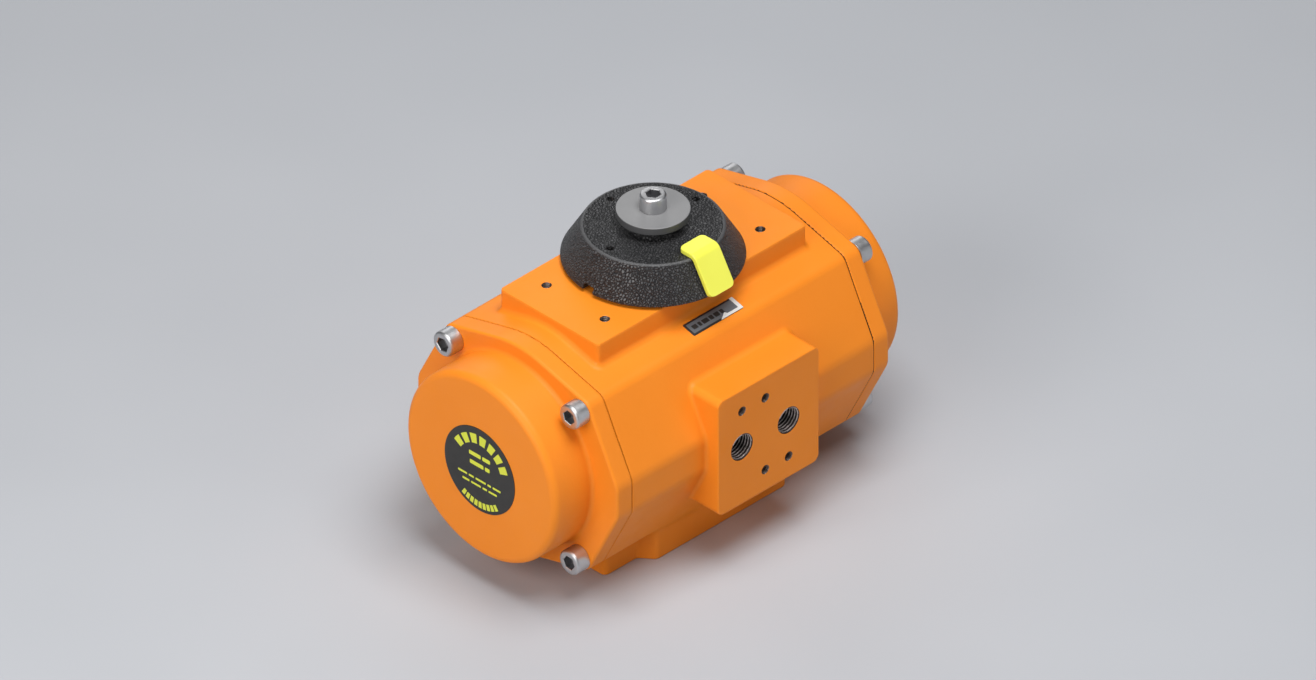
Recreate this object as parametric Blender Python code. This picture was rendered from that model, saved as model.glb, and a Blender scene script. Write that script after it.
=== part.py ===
"""Spring-return rack-and-pinion quarter-turn pneumatic actuator, as separate parts.

World frame in metres: +Z up along the output shaft, +X along the cylinder, the
air ports face -Y. The origin is on the shaft axis, in the valve mounting face.
The dimensions below are millimetres; heights written "zr" are measured from the
cylinder's axis.
"""

import math

import bmesh
import bpy
from mathutils import Matrix, Vector

# ---- driving dimensions, millimetres ---------------------------------------
AXIS_Z = 51.2          # cylinder axis above the valve face
PAD_ZR = 49.9          # accessory pad above the cylinder axis
BODY_HALF = 62.05      # housing half length
CAP_IN = 62.35         # joint face of the end cap
FLANGE_OUT = 70.0      # outer face of the cap's flange
CAP_END = 89.1         # outer face of the cap
CAP_R = 38.7           # cap barrel radius
CAP_BORE_R = 33.2
CAP_WALL = 4.0
BORE_R = 33.0          # cylinder bore
CROWN_R = 45.2         # arc of the body over the bore
ROOF_TILT = 14.8       # slope of the roof facet, degrees
CHEEK_TILT = 26.7      # slope of the cheek facet's normal, degrees
CHEEK_D = 49.1         # distance of the cheek facet from the axis
SIDE_Y = 51.6          # half width of the body
SCREW_Y, SCREW_ZR = 32.5, 32.4   # cap screws
CORNER_R = 5.5
PAD_X, PAD_Y = 53.7, 25.4        # accessory pad half sizes
PAD_HOLE_X, PAD_HOLE_Y = 40.0, 15.0
M5_R, M6_R, M8_R = 2.1, 2.5, 3.4  # tapped hole core radii
BASE_X, BASE_Y, BASE_WIDE_Y = 54.0, 29.2, 35.0
BASE_WIDE_X, BASE_SHOULDER_X = 33.0, 37.5
PORT_Y = -57.76        # air port face
PORT_X0, PORT_X1, PORT_ZR = -24.2, 27.7, 25.5
PORT_PITCH = 24.0
PORT_HOLE_R = 5.72
SPIGOT_R, SPIGOT_DEEP = 17.6, 3.0
F05_R, F07_R = 25.0, 35.0        # bolt circles' radii
MODULE, TEETH, PRESSURE = 1.5, 16, 20.0
BACKLASH = 0.30
TRAVEL = MODULE * TEETH / 2 * math.pi / 2   # piston stroke for a quarter turn
PISTON_R = 32.7
CROWN_IN, CROWN_OUT = 26.0, 36.0  # piston crown along X, at rest
SPRING_SEAT = 32.3
RACK_HALF_Z = 9.0
RACK_END = 25.3
DRIVE_AF = 14.0        # square drive across flats
DRIVE_DEEP = 18.0
DOME_BASE_R, DOME_TOP_R = 33.9, 25.7
DOME_LOW, DOME_HIGH = 1.35, 14.9  # above the accessory pad
SHAFT_TOP = 20.0       # above the accessory pad
DISC_R = 13.7

M = 0.001


# ---- scene and materials ----------------------------------------------------
for old in list(bpy.data.objects):
    bpy.data.objects.remove(old, do_unlink=True)


def material(name, color, roughness, metallic=0.0):
    mat = bpy.data.materials.new(name)
    mat.use_nodes = True
    shader = mat.node_tree.nodes["Principled BSDF"]
    shader.inputs["Base Color"].default_value = (*color, 1.0)
    shader.inputs["Roughness"].default_value = roughness
    shader.inputs["Metallic"].default_value = metallic
    mat.diffuse_color = (*color, 1.0)
    return mat


ORANGE = material("orange_enamel", (0.90, 0.25, 0.03), 0.45)
ORANGE_CAP = material("orange_enamel_cap", (0.90, 0.26, 0.03), 0.45)
STAINLESS = material("stainless_steel", (0.62, 0.61, 0.60), 0.28, 1.0)
STEEL = material("bright_steel", (0.50, 0.50, 0.51), 0.30, 1.0)
ALUMINIUM = material("cast_aluminium", (0.66, 0.67, 0.69), 0.40, 1.0)
SPRING_STEEL = material("coated_spring_steel", (0.10, 0.16, 0.30), 0.45)
RUBBER = material("nitrile_rubber", (0.02, 0.02, 0.02), 0.70)
BEARING = material("bearing_polymer", (0.80, 0.78, 0.70), 0.50)
DOME_BLACK = material("grained_black_plastic", (0.045, 0.045, 0.047), 0.55)
YELLOW = material("yellow_plastic", (0.90, 0.88, 0.10), 0.40)
GREY = material("anodised_grey", (0.36, 0.36, 0.37), 0.40, 0.6)
LABEL = material("black_label_film", (0.03, 0.03, 0.035), 0.45)
PLATE = material("position_label_film", (0.70, 0.70, 0.68), 0.40)


# ---- mesh helpers (millimetres until finish) ----------------------------------
def raw(name, verts, faces):
    mesh = bpy.data.meshes.new(name)
    mesh.from_pydata([tuple(v) for v in verts], [], faces)
    mesh.validate()
    bm = bmesh.new()
    bm.from_mesh(mesh)
    bmesh.ops.remove_doubles(bm, verts=bm.verts, dist=1e-5)
    bmesh.ops.recalc_face_normals(bm, faces=bm.faces)
    if bm.calc_volume(signed=True) < 0:
        bmesh.ops.reverse_faces(bm, faces=bm.faces)
    bm.to_mesh(mesh)
    bm.free()
    obj = bpy.data.objects.new(name, mesh)
    bpy.context.scene.collection.objects.link(obj)
    return obj


def place(axis, a, b, c):
    """A point from in-plane (a, b) and c along the named axis."""
    if axis == "X":
        return (c, a, b)
    if axis == "Y":
        return (b, c, a)
    return (a, b, c)


def loft(name, rings, axis):
    """rings: [(c, [(a, b), ...]), ...] with the same number of points in each."""
    n = len(rings[0][1])
    verts = [place(axis, a, b, c) for c, ring in rings for a, b in ring]
    faces = [list(range(n))[::-1], [len(verts) - n + i for i in range(n)]]
    for k in range(len(rings) - 1):
        for i in range(n):
            j = (i + 1) % n
            faces.append([k * n + i, k * n + j, (k + 1) * n + j, (k + 1) * n + i])
    return raw(name, verts, faces)


def prism(name, ring, axis, lo, hi):
    return loft(name, [(lo, ring), (hi, ring)], axis)


def circle(r, n, a0=0.0, ca=0.0, cb=0.0):
    return [
        (ca + r * math.cos(a0 + 2 * math.pi * i / n), cb + r * math.sin(a0 + 2 * math.pi * i / n))
        for i in range(n)
    ]


def cylinder(name, r, axis, lo, hi, ca=0.0, cb=0.0, n=24):
    return prism(name, circle(r, n, math.pi / n, ca, cb), axis, lo, hi)


def turned(name, profile, axis, n=32, ca=0.0, cb=0.0):
    """Turns a closed profile of (r, c) points about the axis; r may be 0."""
    verts, where = [], []
    for r, c in profile:
        if r == 0:
            where.append([len(verts)] * n)
            verts.append(place(axis, ca, cb, c))
        else:
            where.append(list(range(len(verts), len(verts) + n)))
            verts += [place(axis, a, b, c) for a, b in circle(r, n, math.pi / n, ca, cb)]
    faces = []
    for k in range(len(profile)):
        m = (k + 1) % len(profile)
        if profile[k][0] == 0 and profile[m][0] == 0:
            continue
        for i in range(n):
            j = (i + 1) % n
            face = [where[k][i], where[k][j], where[m][j], where[m][i]]
            face = [v for s, v in enumerate(face) if v not in face[:s]]
            if len(face) > 2:
                faces.append(face)
    return raw(name, verts, faces)


def torus(name, mean_r, section_r, axis, c, ca=0.0, cb=0.0, n=36, m=6):
    profile = [
        (mean_r + section_r * math.cos(2 * math.pi * k / m + math.pi / m),
         c + section_r * math.sin(2 * math.pi * k / m + math.pi / m))
        for k in range(m)
    ]
    return turned(name, profile, axis, n, ca, cb)


def box(name, x0, x1, y0, y1, z0, z1):
    return prism(name, [(x0, y0), (x1, y0), (x1, y1), (x0, y1)], "Z", z0, z1)


def rounded(points, steps=4):
    """[(a, b, radius), ...] as a polygon with its corners rounded."""
    out = []
    n = len(points)
    for i in range(n):
        p = Vector(points[i][:2])
        r = points[i][2]
        u = Vector(points[i - 1][:2]) - p
        v = Vector(points[(i + 1) % n][:2]) - p
        u.normalize()
        v.normalize()
        half = u.angle(v) / 2
        if r <= 0:
            out.append(tuple(p))
            continue
        reach = r / math.tan(half)
        centre = p + (u + v).normalized() * (r / math.sin(half))
        a = p + u * reach - centre
        b = p + v * reach - centre
        start = math.atan2(a.y, a.x)
        turn = math.atan2(a.x * b.y - a.y * b.x, a.dot(b))
        for s in range(steps + 1):
            t = start + turn * s / steps
            out.append((centre.x + r * math.cos(t), centre.y + r * math.sin(t)))
    return out


def boolean(obj, other, operation="DIFFERENCE"):
    modifier = obj.modifiers.new("cut", "BOOLEAN")
    modifier.operation = operation
    modifier.solver = "EXACT"
    modifier.object = other
    bpy.context.view_layer.update()
    graph = bpy.context.evaluated_depsgraph_get()
    made = bpy.data.meshes.new_from_object(obj.evaluated_get(graph))
    obj.modifiers.clear()
    spent = obj.data
    obj.data = made
    bpy.data.meshes.remove(spent)
    spent = other.data
    bpy.data.objects.remove(other, do_unlink=True)
    bpy.data.meshes.remove(spent)
    return obj


def cut(obj, *others):
    for other in others:
        boolean(obj, other)
    return obj


def join(obj, *others):
    for other in others:
        boolean(obj, other, "UNION")
    return obj


def flipped_x(obj, name):
    mesh = obj.data.copy()
    mesh.transform(Matrix.Scale(-1, 4, Vector((1, 0, 0))))
    mesh.flip_normals()
    twin = bpy.data.objects.new(name, mesh)
    bpy.context.scene.collection.objects.link(twin)
    return twin


def turned_half(obj, name):
    """The same part, half a turn round the shaft axis."""
    mesh = obj.data.copy()
    mesh.transform(Matrix.Rotation(math.pi, 4, "Z"))
    twin = bpy.data.objects.new(name, mesh)
    bpy.context.scene.collection.objects.link(twin)
    return twin


def finish(obj, name, mat, origin=(0.0, 0.0, 0.0), angle=35.0):
    """Millimetres to metres, the origin in place, one material, smooth round faces.
    Heights so far are from the cylinder's axis; here they become world heights."""
    ox, oy, oz = origin
    obj.name = name
    mesh = obj.data
    mesh.name = name
    mesh.transform(Matrix.Translation(Vector((-ox, -oy, AXIS_Z - oz))))
    mesh.transform(Matrix.Scale(M, 4))
    obj.location = (ox * M, oy * M, oz * M)
    mesh.materials.clear()
    mesh.materials.append(mat)
    for face in mesh.polygons:
        face.use_smooth = True
        face.material_index = 0
    mesh.set_sharp_from_angle(angle=math.radians(angle))
    return obj


SHAFT_ORIGIN = (0.0, 0.0, AXIS_Z)


# ---- body outline in the YZ plane -------------------------------------------
def meet(n1, d1, n2, d2):
    det = n1[0] * n2[1] - n1[1] * n2[0]
    return ((d1 * n2[1] - d2 * n1[1]) / det, (n1[0] * d2 - n2[0] * d1) / det)


def outline(inset=0.0, crown_steps=4, corner_steps=3, side_steps=1):
    roof = (math.sin(math.radians(ROOF_TILT)), math.cos(math.radians(ROOF_TILT)))
    cheek = (math.cos(math.radians(CHEEK_TILT)), math.sin(math.radians(CHEEK_TILT)))
    top = (0.0, (CROWN_R - inset) / roof[1])
    corner = meet(roof, CROWN_R - inset, cheek, CHEEK_D - inset)
    side = meet(cheek, CHEEK_D - inset, (1.0, 0.0), SIDE_Y - inset)
    quads = []
    # counter-clockwise in (y, z), from the +Y side upwards
    plan = [
        (side[0], side[1], 10.0 - inset, side_steps),
        (corner[0], corner[1], CORNER_R - inset, corner_steps),
        (top[0], top[1], CROWN_R - inset, crown_steps),
        (-corner[0], corner[1], CORNER_R - inset, corner_steps),
        (-side[0], side[1], 10.0 - inset, side_steps),
        (-side[0], -side[1], 10.0 - inset, side_steps),
        (-corner[0], -corner[1], CORNER_R - inset, corner_steps),
        (top[0], -top[1], CROWN_R - inset, crown_steps),
        (corner[0], -corner[1], CORNER_R - inset, corner_steps),
        (side[0], -side[1], 10.0 - inset, side_steps),
    ]
    n = len(plan)
    for i in range(n):
        before, here, after = plan[i - 1], plan[i], plan[(i + 1) % n]
        arc = rounded([before[:2] + (0,), here[:3], after[:2] + (0,)], here[3])
        quads += arc[1:-1]
    return quads


# ---- housing ------------------------------------------------------------------
housing = prism("housing", outline(), "X", -BODY_HALF, BODY_HALF)
pad = prism(
    "pad",
    rounded([(-PAD_X, -PAD_Y, 1.6), (PAD_X, -PAD_Y, 1.6), (PAD_X, PAD_Y, 1.6), (-PAD_X, PAD_Y, 1.6)], 3),
    "Z", 30.0, PAD_ZR,
)
base = prism(
    "base",
    [
        (-BASE_X, -BASE_Y), (-BASE_SHOULDER_X, -BASE_Y), (-BASE_WIDE_X, -BASE_WIDE_Y),
        (BASE_WIDE_X, -BASE_WIDE_Y), (BASE_SHOULDER_X, -BASE_Y), (BASE_X, -BASE_Y),
        (BASE_X, BASE_Y), (BASE_SHOULDER_X, BASE_Y), (BASE_WIDE_X, BASE_WIDE_Y),
        (-BASE_WIDE_X, BASE_WIDE_Y), (-BASE_SHOULDER_X, BASE_Y), (-BASE_X, BASE_Y),
    ],
    "Z", -AXIS_Z, -28.0,
)
block_face = rounded(
    [(PORT_ZR, PORT_X0, 3.0), (PORT_ZR, PORT_X1, 3.0), (-PORT_ZR, PORT_X1, 3.0), (-PORT_ZR, PORT_X0, 3.0)], 3
)
mid_x = (PORT_X0 + PORT_X1) / 2


def shrunk(ring, by, centre):
    out = []
    for a, b in ring:
        da = -by if a > centre[0] else by
        db = -by if b > centre[1] else by
        out.append((a + da, b + db))
    return out


block = loft(
    "block",
    [
        (PORT_Y, shrunk(block_face, 1.2, (0, mid_x))),
        (PORT_Y + 0.35, shrunk(block_face, 0.35, (0, mid_x))),
        (PORT_Y + 1.2, block_face),
        (-34.5, block_face),
    ],
    "Y",
)
join(housing, pad, base, block)
cut(housing, cylinder("bore", BORE_R, "X", -70, 70, n=48))
for sx in (-1, 1):
    for sy in (-1, 1):
        for sz in (-1, 1):
            lo, hi = sorted((sx * (BODY_HALF - 15), sx * (BODY_HALF + 2)))
            cut(housing, cylinder("c", 3.0, "X", lo, hi, sy * SCREW_Y, sz * SCREW_ZR, 12))
# shaft bores and the valve side's spigot recess
cut(
    housing,
    cylinder("c", 10.9, "Z", 15, 55, n=32),
    cylinder("c", 16.3, "Z", -60, -15, n=36),
    cylinder("c", SPIGOT_R, "Z", -60, -AXIS_Z + SPIGOT_DEEP, n=36),
)
for k in range(4):
    a = math.radians(45 + 90 * k)
    cut(
        housing,
        cylinder("c", M6_R, "Z", -60, -AXIS_Z + 11, F05_R * math.cos(a), F05_R * math.sin(a), 12),
        cylinder("c", M8_R, "Z", -60, -AXIS_Z + 13, F07_R * math.cos(a), F07_R * math.sin(a), 12),
    )
for sx in (-1, 1):
    for sy in (-1, 1):
        cut(housing, cylinder("c", M5_R, "Z", PAD_ZR - 9, 60, sx * PAD_HOLE_X, sy * PAD_HOLE_Y, 12))
# air ports: the left one feeds the middle chamber, the right one both spring chambers
CHANNEL_Y, CHANNEL_ZR = -43.0, 6.5
cut(
    housing,
    cylinder("c", PORT_HOLE_R, "Y", PORT_Y - 5, -47.0, 0, -PORT_PITCH / 2, 24),
    cylinder("c", 3.0, "Y", -50.0, -28.0, 0, -PORT_PITCH / 2, 12),
    cylinder("c", PORT_HOLE_R, "Y", PORT_Y - 5, -40.7, 0, PORT_PITCH / 2, 24),
    cylinder("c", 2.5, "X", -70, 70, CHANNEL_Y, CHANNEL_ZR, 12),
)
for x, z in ((-12, 16), (0, 16), (0, -16), (12, -16)):
    cut(housing, cylinder("c", M5_R, "Y", PORT_Y - 5, PORT_Y + 9, z, x, 12))
finish(housing, "housing", ORANGE)

# ---- end caps -----------------------------------------------------------------
steps = [(0.0, CAP_IN), (0.0, 68.0)] + [
    (2.0 * (1 - math.cos(a)), 68.0 + 2.0 * math.sin(a)) for a in (math.pi / 4, math.pi / 2)
]
cap = loft("cap", [(x, outline(inset)) for inset, x in steps], "X")
barrel = [(0, 66.0), (CAP_R, 66.0), (CAP_R, 86.1)] + [
    (CAP_R - 3.0 * (1 - math.cos(a)), 86.1 + 3.0 * math.sin(a)) for a in (math.pi / 4, math.pi / 2)
] + [(0, CAP_END)]
join(cap, turned("barrel", barrel, "X", 48))
cut(
    cap,
    turned("c", [(0, 55), (CAP_BORE_R, 55), (CAP_BORE_R, 83.1), (31.2, CAP_END - CAP_WALL), (0, CAP_END - CAP_WALL)], "X", 48),
    turned("c", [(34.7, 60), (37.3, 60), (37.3, 64.4), (34.7, 64.4)], "X", 32),
    cylinder("c", 4.4, "X", 60, 63.9, CHANNEL_Y, CHANNEL_ZR, 16),
    cylinder("c", 2.5, "X", 60, 66.6, CHANNEL_Y, CHANNEL_ZR, 12),
)
for sy in (-1, 1):
    for sz in (-1, 1):
        cut(cap, cylinder("c", 3.3, "X", 60, 75, sy * SCREW_Y, sz * SCREW_ZR, 16))
# drilling from the air channel into the spring chamber
direction = Vector((0, -CHANNEL_Y, -CHANNEL_ZR)).normalized()
drill = cylinder("c", 1.7, "Z", -0.4, 13.5, n=10)
drill.data.transform(
    Matrix.Translation(Vector((66.7, CHANNEL_Y, CHANNEL_ZR))) @ Vector((0, 0, 1)).rotation_difference(direction).to_matrix().to_4x4()
)
cut(cap, drill)
cap_left = flipped_x(cap, "end_cap_left")
finish(cap, "end_cap_right", ORANGE_CAP)
finish(cap_left, "end_cap_left", ORANGE_CAP)

# ---- static seals between housing and caps --------------------------------------
for side, name in ((-1, "left"), (1, "right")):
    finish(torus("s", 36.0, 0.8, "X", side * 63.3, n=32, m=4), f"cap_o_ring_{name}", RUBBER)
    finish(torus("s", 3.4, 0.65, "X", side * 63.1, CHANNEL_Y, CHANNEL_ZR, 12, 4), f"channel_seal_{name}", RUBBER)


# ---- cap screws -------------------------------------------------------------------
def hexagon(af, ca=0.0, cb=0.0):
    return circle(af / math.sqrt(3), 6, 0.0, ca, cb)


screw = turned(
    "screw",
    [(0, 50.5), (2.2, 50.5), (2.7, 51.0), (2.7, 70.35), (5.05, 70.35), (5.05, 75.5), (4.6, 76.0), (0, 76.0)],
    "X", 14,
)
cut(screw, prism("c", hexagon(5.0), "X", 72.8, 78.0))
for side, name in ((-1, "left"), (1, "right")):
    for number, (sy, sz) in enumerate(((-1, 1), (1, 1), (1, -1), (-1, -1)), 1):
        part = flipped_x(screw, "s") if side < 0 else bpy.data.objects.new("s", screw.data.copy())
        if side > 0:
            bpy.context.scene.collection.objects.link(part)
        part.data.transform(Matrix.Translation(Vector((0, sy * SCREW_Y, sz * SCREW_ZR))))
        finish(part, f"cap_screw_{name}_{number}", STAINLESS, (0, sy * SCREW_Y, AXIS_Z + sz * SCREW_ZR))
bpy.data.objects.remove(screw, do_unlink=True)


# ---- pistons with their racks -------------------------------------------------------
PITCH = math.pi * MODULE
PITCH_R = MODULE * TEETH / 2
flank = math.tan(math.radians(PRESSURE))
tip_y, root_y = PITCH_R - MODULE, PITCH_R + 1.25 * MODULE
half = PITCH / 4 - BACKLASH / 4            # half a tooth at the pitch line
teeth_line = []
for k in range(-2, 5):
    x = (k + 0.5) * PITCH
    teeth_line += [
        (x - half - flank * (root_y - PITCH_R), root_y),
        (x - half + flank * (PITCH_R - tip_y), tip_y),
        (x + half - flank * (PITCH_R - tip_y), tip_y),
        (x + half + flank * (root_y - PITCH_R), root_y),
    ]
rack_line = [(-CROWN_IN - 1.5, root_y)] + teeth_line + [(RACK_END, root_y), (RACK_END, 36.0), (-CROWN_IN - 1.5, 36.0)]
rack = prism("rack", rack_line, "Z", -RACK_HALF_Z, RACK_HALF_Z)
boolean(rack, cylinder("c", 31.4, "X", -60, 60, n=40), "INTERSECT")


def arc_slab(r0, r1, half_z, n=6):
    """A slab between two radii, on the +Y side, as a (y, z) polygon."""
    out = []
    for r, order in ((r0, range(n + 1)), (r1, range(n, -1, -1))):
        limit = math.asin(half_z / r)
        out += [(r * math.cos(-limit + 2 * limit * i / n), r * math.sin(-limit + 2 * limit * i / n)) for i in order]
    return out


cut(rack, prism("c", arc_slab(30.2, 34.0, 7.3), "X", 3.7, 22.3))
crown = turned(
    "crown",
    [
        (0, -CROWN_IN), (31.9, -CROWN_IN), (PISTON_R, -CROWN_IN - 0.8), (PISTON_R, -28.2), (30.2, -28.2),
        (30.2, -31.0), (PISTON_R, -31.0), (PISTON_R, -32.0), (31.3, -32.0), (31.3, -35.0), (PISTON_R, -35.0),
        (PISTON_R, -CROWN_OUT), (26.5, -CROWN_OUT), (26.2, -SPRING_SEAT), (0, -SPRING_SEAT),
    ],
    "X", 48,
)
join(crown, rack)
piston_right = turned_half(crown, "piston_right")
PISTON_ORIGIN = (0.0, 0.0, AXIS_Z)
finish(crown, "piston_left", ALUMINIUM, PISTON_ORIGIN)
finish(piston_right, "piston_right", ALUMINIUM, PISTON_ORIGIN)
for side, name in ((-1, "left"), (1, "right")):
    finish(torus("s", 31.5, 1.1, "X", side * 29.6, n=32, m=4), f"piston_o_ring_{name}", RUBBER, PISTON_ORIGIN)
    lo, hi = sorted((side * 32.3, side * 34.7))
    band = turned("s", [(31.6, lo), (32.8, lo), (32.8, hi), (31.6, hi)], "X", 48)
    finish(band, f"piston_guide_band_{name}", BEARING, PISTON_ORIGIN)
    shoe = prism("s", arc_slab(30.5, 32.7, 7.0), "X", 4.0, 22.0)
    if side > 0:
        shoe.data.transform(Matrix.Rotation(math.pi, 4, "Z"))
    finish(shoe, f"rack_guide_{name}", BEARING, PISTON_ORIGIN)


# ---- springs ---------------------------------------------------------------------------
def spring(name, mean_r, wire_r, turns, x0, x1, per_turn, m, hand, start=0.0):
    """A coil from x0 to x1 with a flat closed turn at each end, capped."""
    count = int(turns * per_turn)
    verts, faces = [], []
    lo, hi = x0 + wire_r, x1 - wire_r
    closed = 0.75
    for s in range(count + 1):
        t = turns * s / count
        inner = min(max((t - closed) / (turns - 2 * closed), 0.0), 1.0)
        ends = min(t, closed) + max(t - (turns - closed), 0.0)
        rise = 0.55 * wire_r * 2
        x = lo + rise * ends / (2 * closed) * 2 * 0.5 + (hi - lo - rise) * inner
        angle = start + hand * 2 * math.pi * t
        out = Vector((0, math.cos(angle), math.sin(angle)))
        centre = Vector((x, 0, 0)) + out * mean_r
        for k in range(m):
            b = 2 * math.pi * k / m + math.pi / m
            verts.append(centre + out * (wire_r * math.cos(b)) + Vector((wire_r * math.sin(b), 0, 0)))
    for s in range(count):
        for k in range(m):
            j = (k + 1) % m
            faces.append([s * m + k, s * m + j, (s + 1) * m + j, (s + 1) * m + k])
    faces.append(list(range(m))[::-1])
    faces.append([count * m + k for k in range(m)])
    return raw(name, verts, faces)


seat, floor = SPRING_SEAT + 0.3, CAP_END - CAP_WALL - 0.3
for side, name in ((-1, "left"), (1, "right")):
    outer = spring("s", 23.2, 2.0, 5.75, seat, floor, 11, 5, 1, 0.3)
    inner = spring("s", 14.0, 1.5, 6.75, seat, floor, 9, 5, -1, 1.1)
    for part, label in ((outer, "outer"), (inner, "inner")):
        if side < 0:
            part.data.transform(Matrix.Rotation(math.pi, 4, "Z"))
        finish(part, f"spring_{label}_{name}", SPRING_STEEL, (0, 0, AXIS_Z), 60)


# ---- pinion shaft --------------------------------------------------------------------------
def gear_ring():
    """Involute tooth outline, with a tooth centred on +Y."""
    base_r = PITCH_R * math.cos(math.radians(PRESSURE))
    outer_r, root_r = PITCH_R + MODULE, PITCH_R - 1.25 * MODULE

    def inv(r):
        a = math.acos(min(1.0, base_r / r))
        return math.tan(a) - a

    half_angle = (PITCH / 4 - BACKLASH / 4) / PITCH_R
    out = []
    for k in range(TEETH):
        middle = math.pi / 2 + 2 * math.pi * k / TEETH
        radii = [root_r, base_r, PITCH_R, PITCH_R + 0.6 * MODULE, outer_r]
        side = [(r, half_angle + inv(PITCH_R) - (inv(r) if r > base_r else 0.0)) for r in radii]
        out += [(r * math.cos(middle - a), r * math.sin(middle - a)) for r, a in side]
        out += [(r * math.cos(middle + a), r * math.sin(middle + a)) for r, a in side[::-1]]
    return out


def two_flats(r, flat, n=6):
    limit = math.acos(flat / r)
    out = []
    for middle in (math.pi / 2, -math.pi / 2):
        out += [
            (r * math.cos(middle - (math.pi / 2 - limit) + 2 * (math.pi / 2 - limit) * i / n),
             r * math.sin(middle - (math.pi / 2 - limit) + 2 * (math.pi / 2 - limit) * i / n))
            for i in range(n + 1)
        ]
    return out


pinion = prism("pinion", gear_ring(), "Z", -9.5, 9.5)
lower = turned(
    "lower",
    [
        (0, -50.4), (15.4, -50.4), (15.9, -49.9), (15.9, -46.6), (13.5, -46.6), (13.5, -44.0), (15.9, -44.0),
        (15.9, -42.2), (14.0, -42.2), (14.0, -9.4), (0, -9.4),
    ],
    "Z", 32,
)
upper = turned(
    "upper",
    [
        (0, 9.4), (9.0, 9.4), (9.0, 41.4), (8.0, 41.4), (8.0, 44.2), (9.0, 44.2), (9.0, 51.3), (7.9, 51.3),
        (7.9, 53.0), (9.0, 53.0), (9.0, 54.1), (0, 54.1),
    ],
    "Z", 24,
)
top_end = prism("top_end", two_flats(7.0, 5.5), "Z", 54.0, PAD_ZR + SHAFT_TOP)
join(pinion, lower, upper, top_end)
square = DRIVE_AF / 2
cut(
    pinion,
    box("c", -square, square, -square, square, -60, -50.4 + DRIVE_DEEP),
)
turned_square = box("c", -square, square, -square, square, -60, -50.4 + DRIVE_DEEP + 0.02)
turned_square.data.transform(Matrix.Rotation(math.pi / 4, 4, "Z"))
cut(
    pinion,
    turned_square,
    cylinder("c", 3.0, "Z", PAD_ZR + SHAFT_TOP - 12, 80, n=16),
    box("c", -2.0, 2.0, -10, 10, PAD_ZR + SHAFT_TOP - 4.0, 80),
)
finish(pinion, "pinion_shaft", STEEL, SHAFT_ORIGIN)
finish(torus("s", 14.9, 1.1, "Z", -45.3, n=28, m=4), "lower_shaft_o_ring", RUBBER, SHAFT_ORIGIN)
finish(torus("s", 9.45, 1.1, "Z", 42.8, n=24, m=4), "upper_shaft_o_ring", RUBBER, SHAFT_ORIGIN)
finish(turned("s", [(14.3, -41.7), (16.0, -41.7), (16.0, -33.6), (14.3, -33.6)], "Z", 32), "lower_bush", BEARING)
finish(turned("s", [(9.3, 34.2), (10.6, 34.2), (10.6, 40.6), (9.3, 40.6)], "Z", 24), "upper_bush", BEARING)
finish(
    turned("s", [(9.4, PAD_ZR + 0.3), (13.4, PAD_ZR + 0.3), (13.4, PAD_ZR + 1.25), (9.4, PAD_ZR + 1.25)], "Z", 32),
    "thrust_washer", BEARING,
)
ring = []
gap = math.radians(35)
for r, order in ((12.0, range(17)), (8.2, range(16, -1, -1))):
    ring += [
        (r * math.cos(math.pi / 2 + gap + (2 * math.pi - 2 * gap) * i / 16), r * math.sin(math.pi / 2 + gap + (2 * math.pi - 2 * gap) * i / 16))
        for i in order
    ]
finish(prism("s", ring, "Z", 51.55, 52.75), "retaining_ring", SPRING_STEEL, SHAFT_ORIGIN)

# ---- position indicator ---------------------------------------------------------------------
P = PAD_ZR
dome = turned(
    "dome",
    [
        (0, P + 18.8), (9.8, P + 18.8), (9.8, P + DOME_HIGH), (DOME_TOP_R, P + DOME_HIGH),
        (DOME_TOP_R + 0.85, P + DOME_HIGH - 0.55),
        (DOME_BASE_R, P + 2.1), (DOME_BASE_R, P + DOME_LOW),
        (31.2, P + DOME_LOW), (23.7, P + 12.4), (13.6, P + 12.4), (13.6, P + 4.6), (0, P + 4.6),
    ],
    "Z", 44,
)
cut(dome, prism("c", two_flats(7.3, 5.8), "Z", P, P + 25))
for k in range(4):
    a = math.pi / 2 * k
    cut(dome, cylinder("c", 1.5, "Z", P + 10, P + 20, 22 * math.cos(a), 22 * math.sin(a), 10))
    notch = box("c", 27.0, 40.0, -2.5, 2.5, P - 1, P + DOME_LOW + 2.4)
    notch.data.transform(Matrix.Rotation(a, 4, "Z"))
    cut(dome, notch)
finish(dome, "indicator_dome", DOME_BLACK, SHAFT_ORIGIN)

# pointer: a bent tab over the dome's rim on the -Y side, with a pin in the dome's hole
slope = math.atan2(DOME_HIGH - 3.1, DOME_BASE_R - DOME_TOP_R - 1.1)
gap = 0.30
thick = 2.0


def offset_path(path, by):
    out = []
    for i, p in enumerate(path):
        p = Vector(p)
        normals = []
        for q, s in ((i - 1, 0), (i, 1)):
            if 0 <= q < len(path) - 1:
                d = (Vector(path[q + 1]) - Vector(path[q])).normalized()
                normals.append(Vector((-d.y, d.x)))
        n = sum(normals, Vector((0, 0))).normalized()
        out.append(tuple(p + n * (by / max(0.3, n.dot(normals[0])))))
    return out


rim = DOME_TOP_R + 0.6
foot_r = 34.4
path = [
    (-19.3, P + DOME_HIGH), (-rim, P + DOME_HIGH),
    (-foot_r, P + DOME_HIGH - (foot_r - rim) * math.tan(slope)),
]
# walking from the hub outwards along -Y, the left-hand normal points down, so offsets are negative
under = offset_path(path, -gap)
over = offset_path(path, -(gap + thick))
tab = prism("tab", under + over[::-1], "X", -6.25, 6.25)
join(tab, cylinder("c", 1.15, "Z", P + 12.8, P + DOME_HIGH + 1.2, 0, -22, 10))
finish(tab, "indicator_pointer", YELLOW, SHAFT_ORIGIN)

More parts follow.
